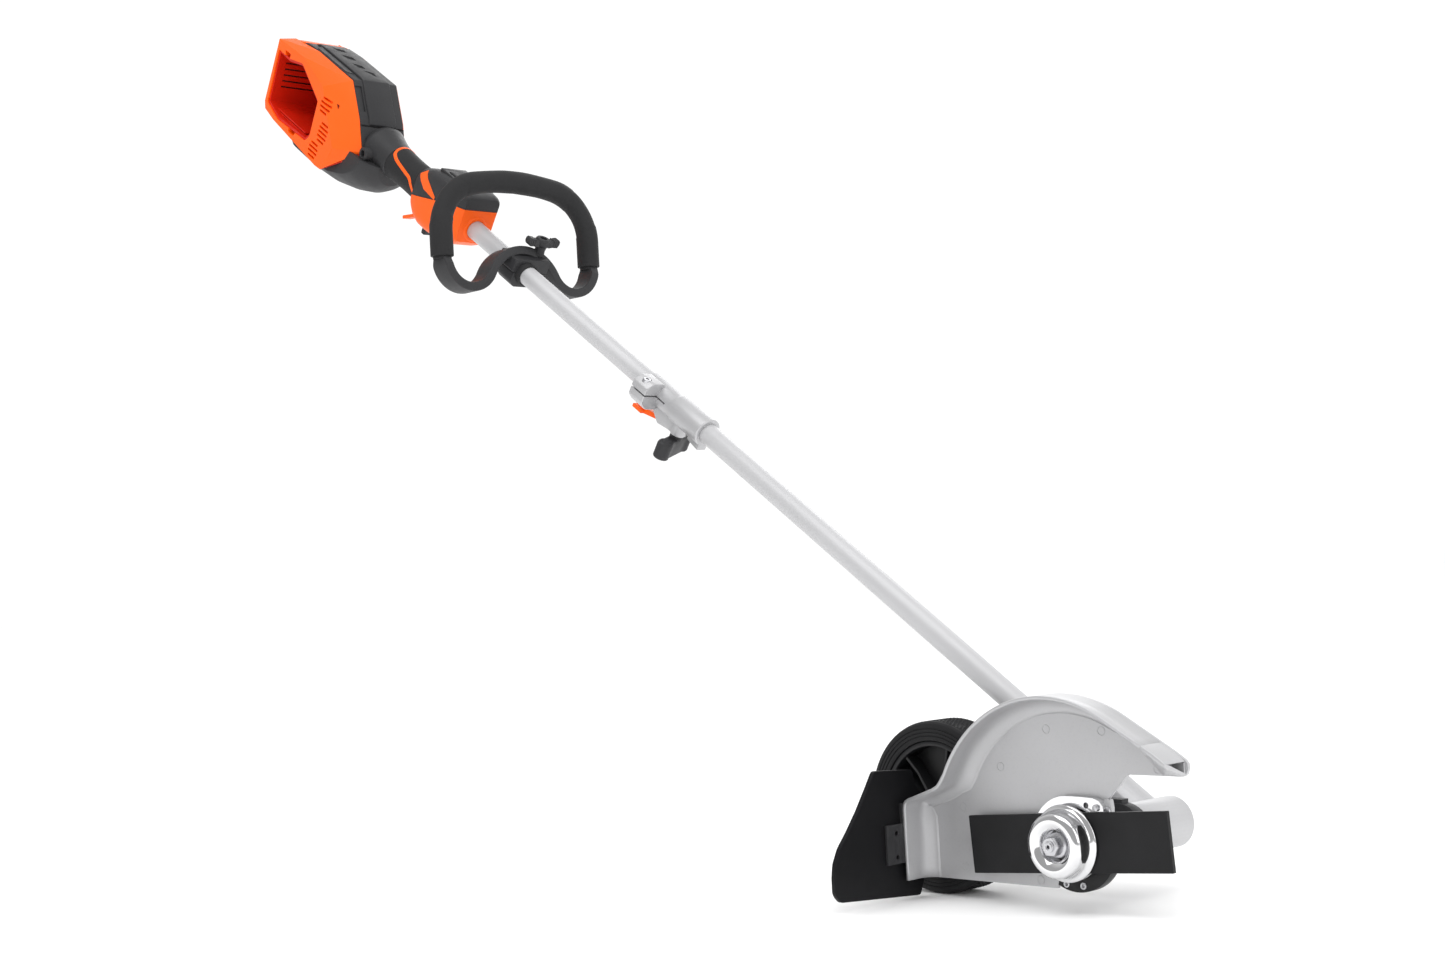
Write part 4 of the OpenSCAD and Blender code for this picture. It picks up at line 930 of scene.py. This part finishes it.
# ---- loop handle ----
SIDE_X, LOBE_C, LOBE_R, HUMP_TOP = 113, (79, 4), 34, 19
HUMP_R = ((LOBE_C[0] ** 2 + (LOBE_C[1] - HUMP_TOP) ** 2 - LOBE_R ** 2)
          / (2 * (LOBE_R + HUMP_TOP - LOBE_C[1])))
HUMP_Y = HUMP_TOP - HUMP_R
JOIN = math.degrees(math.atan2(LOBE_C[1] - HUMP_Y, LOBE_C[0]))
SH_C, SH_R, TOP_Y = (51, 38), 62, 105
ARCH_R = (SH_C[0] ** 2 + (TOP_Y - SH_C[1]) ** 2 - SH_R ** 2) / (2 * (TOP_Y - SH_C[1] - SH_R))
ARCH_Y = TOP_Y - ARCH_R
ARCH_A = math.degrees(math.atan2(SH_C[0], SH_C[1] - ARCH_Y))


def bow_path():
    """Middle line of the upper bow: side, shoulder, flat arch, and the same mirrored."""
    right = [(SIDE_X, 4 + i * 3.4) for i in range(10)]
    right += arc(SH_C[0], SH_C[1], SH_R, 0, 90 - ARCH_A, 22)
    right += arc(0, ARCH_Y, ARCH_R, 90 - ARCH_A, 90, 14)[1:]
    left = [(-x, y) for x, y in right[::-1]][1:]
    return right + left


def path_lengths(path):
    total = [0.0]
    for a, b in zip(path, path[1:]):
        total.append(total[-1] + math.hypot(b[0] - a[0], b[1] - a[1]))
    return total


def resample(path, step):
    """The same path with evenly spaced points."""
    lens = path_lengths(path)
    n = max(2, int(lens[-1] / step))
    out, k = [], 0
    for i in range(n + 1):
        d = lens[-1] * i / n
        while k < len(lens) - 2 and lens[k + 1] < d:
            k += 1
        t = (d - lens[k]) / max(1e-9, lens[k + 1] - lens[k])
        out.append((path[k][0] + (path[k + 1][0] - path[k][0]) * t,
                    path[k][1] + (path[k + 1][1] - path[k][1]) * t))
    return out


def sweep_flat(path, section):
    """Sweeps section(share) -> [(across, out of plane)] along a path in the local xy plane."""
    secs = []
    n = len(path)
    for i in range(n):
        a, b = Vector(path[max(i - 1, 0)]), Vector(path[min(i + 1, n - 1)])
        t = (b - a).normalized()
        nrm = Vector((t.y, -t.x))
        secs.append([(path[i][0] + nrm.x * u, path[i][1] + nrm.y * u, w)
                     for u, w in section(i / (n - 1))])
    return loft_bm(secs)


bow = resample(bow_path(), 2.0)
BOW_LEN = path_lengths(bow)[-1]


def grip_round(share, n=40):
    """Round section of the rubber, stepped by the leaves and waved between them."""
    d = min(share, 1 - share) * BOW_LEN
    r = 14.0
    pts = []
    for k in range(n):
        a = 2 * math.pi * k / n
        q = r
        # overlapping moulded leaves near the shoulders
        lean = d - 9.0 * math.sin(a)
        if 44 < lean < 92:
            q = r - 0.15 - 0.9 * (1 - abs(lean - 68) / 24 * 0.4)
        if 92 <= lean < 94:
            q = r - 0.9 + 0.9 * (lean - 92) / 2
        if lean >= 94:
            wave = math.sin((lean - 94) * 2 * math.pi / 62.0)
            q = r - 0.25 + 0.25 * wave
        pts.append((q * math.cos(a), q * math.sin(a)))
    return pts


grip_path = [p for p in bow if p[1] >= 5.6]
to_object("LoopGrip", sweep_flat(grip_path, grip_round), LOOP, "loop", ["loop_grip"], "rubber", bevel=0.9,
          segments=2, angle=50)


def strap_path():
    right = [(SIDE_X, 12), (SIDE_X, 6)] + arc(LOBE_C[0], LOBE_C[1], LOBE_R, 0, -180 + JOIN, 46)
    hump = arc(0, HUMP_Y, HUMP_R, JOIN, 180 - JOIN, 40)
    left = [(-x, y) for x, y in right[::-1]]
    return right + hump[1:-1] + left


def strap_section(share):
    """A flat strap that narrows into the grip at both ends."""
    grown = min(1, min(share, 1 - share) / 0.05)
    w, t = 8 + 7 * grown, 6 - 0.5 * grown
    return rounded(box(-t, t, -w, w), 2.2, 4)


strap = sweep_flat(resample(strap_path(), 2.5), strap_section)
saddle = rounded_solid(slab_bm(rounded(box(0.4, 17.5, -20, 34), 2), 1084, 1116), 0.6, 2, 30)
strap.transform(LOOP)
saddle.transform(TUBE)
world_to_tube = TUBE.inverted()
strap.transform(world_to_tube)
saddle.transform(world_to_tube)
frame_bm = boolean(strap, [saddle], "UNION")
frame_bm = boolean(frame_bm, [cylinder_bm((0, 0, 1030), (0, 0, 1), 14.08, 140, 64),
                              prism_bm(box(-60, 0.4, 1040, 1160), -18, 34.5)])
to_object("LoopFrame", frame_bm, TUBE, "loop", ["loop_frame"], "black", bevel=0.5, segments=2,
          angle=40)
# a stepped collar at each end of the grip
turns = [2 * math.pi * k / 32 for k in range(32)]
for i, sgn in enumerate((1, -1)):
    bm = loft_bm([[(sgn * SIDE_X + 11.2 * math.cos(t), y, 11.2 * math.sin(t)) for t in turns]
                  for y in (2.4, 6.4)])
    to_object(f"GripStep{i + 1}", bm, LOOP, "loop", [], "rubber", bevel=0.6, segments=2)

clamp = rounded([(-19.6, -11), (-13, -17), (0, -17), (0, 33), (-12, 33), (-19.6, 26)], 2.5)
clamp = boolean(rounded_solid(slab_bm(clamp, 1084, 1116), 0.8, 2, 30),
                [cylinder_bm((0, 0, 1030), (0, 0, 1), 14.08, 140, 64),
                 cylinder_bm((-30, 24, 1100), (1, 0, 0), 3.05, 60, 32)])
to_object("HandleClamp", clamp, TUBE, "loop", ["handle_clamp"], "black", bevel=0.5, segments=2,
          angle=40)

# ---- wing knob of the loop handle: stem, boss with a round recess, two ribbed wings ----
KN, KY, KS = 18, 24, 1100
stem = lathe_bm([(0, -40), (3, -40), (3, 0), (7, 0.2), (7.2, 2), (6.4, 8), (7.4, 13), (9.2, 15),
                 (9.8, 17.5), (9.4, 22), (8.2, 23.4), (4.6, 23.6), (4.4, 19), (0, 19)], 48)
stem.transform(Matrix(((0, 0, 1, KN), (1, 0, 0, KY), (0, 1, 0, KS), (0, 0, 0, 1))))
wings = []
for sgn in (-1, 1):
    pts = [(5, 12.5), (9, 12.0), (14, 13.2), (19, 13.0), (22.2, 14.2), (23.9, 17.5), (23.8, 21.5),
           (21.8, 23.8), (17.5, 23.2), (12.5, 21.4), (8, 21.8), (5, 22.4)]
    pts = [(sgn * a, KN + b) for a, b in pts]
    secs = []
    for w, k in ((-5.4, 0.86), (-4.2, 1.0), (4.2, 1.0), (5.4, 0.86)):
        cy, cn = sgn * 14, KN + 17.8
        secs.append([(cn + (n - cn) * k, KY + cy + (y - cy) * k, KS + w) for y, n in pts])
    wings.append(loft_bm(secs))
    for g in (14.5, 17.5, 20.5):
        y = KY + sgn * g
        rib = [(KN + 13.6, y - 0.6), (KN + 13.6, y + 0.6), (KN + 22.6, y + 0.6), (KN + 22.6, y - 0.6)]
        wings.append(slab_bm(rib, KS - 5.9, KS + 5.9))
to_object("HandleKnob", join_bm([stem] + wings), TUBE, "handle_knob", ["handle_knob"], "black",
          bevel=0.6, segments=2)

# ---- mud flap: a flat plate ----
FLAP = [(-47, 61), (5, 57), (6, 49), (8, 42), (15, 35), (15, -40), (7, -59), (-98, -51), (-101, -49),
        (-106, -43), (-106, -28), (-104, -16), (-97, -3), (-85, 10), (-71, 27), (-58, 45)]
flap = prism_bm(rounded(FLAP, 3, 3), -183, -178.1, plane="yz")
to_object("MudFlap", flap, HEAD, "attachment", ["mud_flap"], "flap", bevel=0.9, segments=3)
for i, (y, z) in enumerate(((-25, 2), (-25, -20), (2, 21))):
    screw_head(f"FlapScrew{i + 1}", (-183, y, z), (-1, 0, 0), 4.0, 2.4, HEAD, "attachment",
               ["flap_screws"] if i == 0 else [])

# ---- camera: from the front right, a little below level ----
cam_data = bpy.data.cameras.new("Camera")
cam = bpy.data.objects.new("Camera", cam_data)
bpy.context.scene.collection.objects.link(cam)
bpy.context.scene.camera = cam
az, el, roll = math.radians(46.915), math.radians(-2.345), math.radians(-3.108)
back = Vector((math.sin(az) * math.cos(el), -math.cos(az) * math.cos(el), math.sin(el)))
right0 = Vector((math.cos(az), math.sin(az), 0))
up0 = right0.cross(-back)
right = math.cos(roll) * right0 + math.sin(roll) * up0
up = -math.sin(roll) * right0 + math.cos(roll) * up0
cm = Matrix((right, up, back)).transposed().to_4x4()
cm.translation = Vector((1.758, -1.519, 0.315))
cam.matrix_world = cm
cam_data.sensor_width = 36
cam_data.lens = 51.895
cam_data.clip_end = 100

# ---- floor, light ----
def plane(name, size, location):
    """A flat square that belongs to the studio, not to the part."""
    bm = bmesh.new()
    bmesh.ops.create_grid(bm, x_segments=2, y_segments=2, size=size / 2)
    mesh = bpy.data.meshes.new(name)
    bm.to_mesh(mesh)
    bm.free()
    ob = bpy.data.objects.new(name, mesh)
    ob.location = location
    bpy.context.scene.collection.objects.link(ob)
    return ob


floor_mat, nt, bsdf = new_material("FloorPaper")
bsdf.inputs["Base Color"].default_value = (0.96, 0.96, 0.96, 1)
bsdf.inputs["Roughness"].default_value = 0.9
bsdf.inputs["Specular IOR Level"].default_value = 0.1
floor = plane("Floor", 60, (0, 0, 0))
floor.data.materials.append(floor_mat)

world = bpy.data.worlds.new("Studio")
bpy.context.scene.world = world
world.use_nodes = True
wn = world.node_tree
bg = wn.nodes["Background"]
coord = wn.nodes.new("ShaderNodeTexCoord")
sep = wn.nodes.new("ShaderNodeSeparateXYZ")
wn.links.new(coord.outputs["Generated"], sep.inputs["Vector"])
ramp = wn.nodes.new("ShaderNodeMapRange")
ramp.inputs["From Min"].default_value = -0.6
ramp.inputs["From Max"].default_value = 0.75
ramp.inputs["To Min"].default_value = 0.42
ramp.inputs["To Max"].default_value = 1.15
wn.links.new(sep.outputs["Y"], ramp.inputs["Value"])
path = wn.nodes.new("ShaderNodeLightPath")
# an even white room, but reflections see it darker below than above
mixer = wn.nodes.new("ShaderNodeMix")
mixer.data_type = "FLOAT"
mixer.inputs["A"].default_value = 1.07
wn.links.new(ramp.outputs["Result"], mixer.inputs["B"])
wn.links.new(path.outputs["Is Glossy Ray"], mixer.inputs["Factor"])
wn.links.new(mixer.outputs["Result"], bg.inputs["Strength"])
bg.inputs["Color"].default_value = (1, 1, 1, 1)


def area(name, location, target, size, power):
    light = bpy.data.lights.new(name, "AREA")
    light.shape = "RECTANGLE"
    light.size, light.size_y = size
    light.energy = power
    ob = bpy.data.objects.new(name, light)
    ob.location = location
    ob.rotation_mode = "QUATERNION"
    ob.rotation_quaternion = (Vector(target) - Vector(location)).to_track_quat("-Z", "Y")
    bpy.context.scene.collection.objects.link(ob)


area("KeyTop", (0.6, -1.2, 3.2), (0, 0, 0.4), (3.5, 2.2), 42)
area("FillFront", (2.6, -0.4, 1.2), (0.4, 0, 0.3), (1.4, 1.8), 9)
area("RimBack", (-1.6, 2.2, 2.2), (0, 0, 0.5), (2.4, 1.6), 20)
bpy.context.scene.view_settings.view_transform = "Standard"
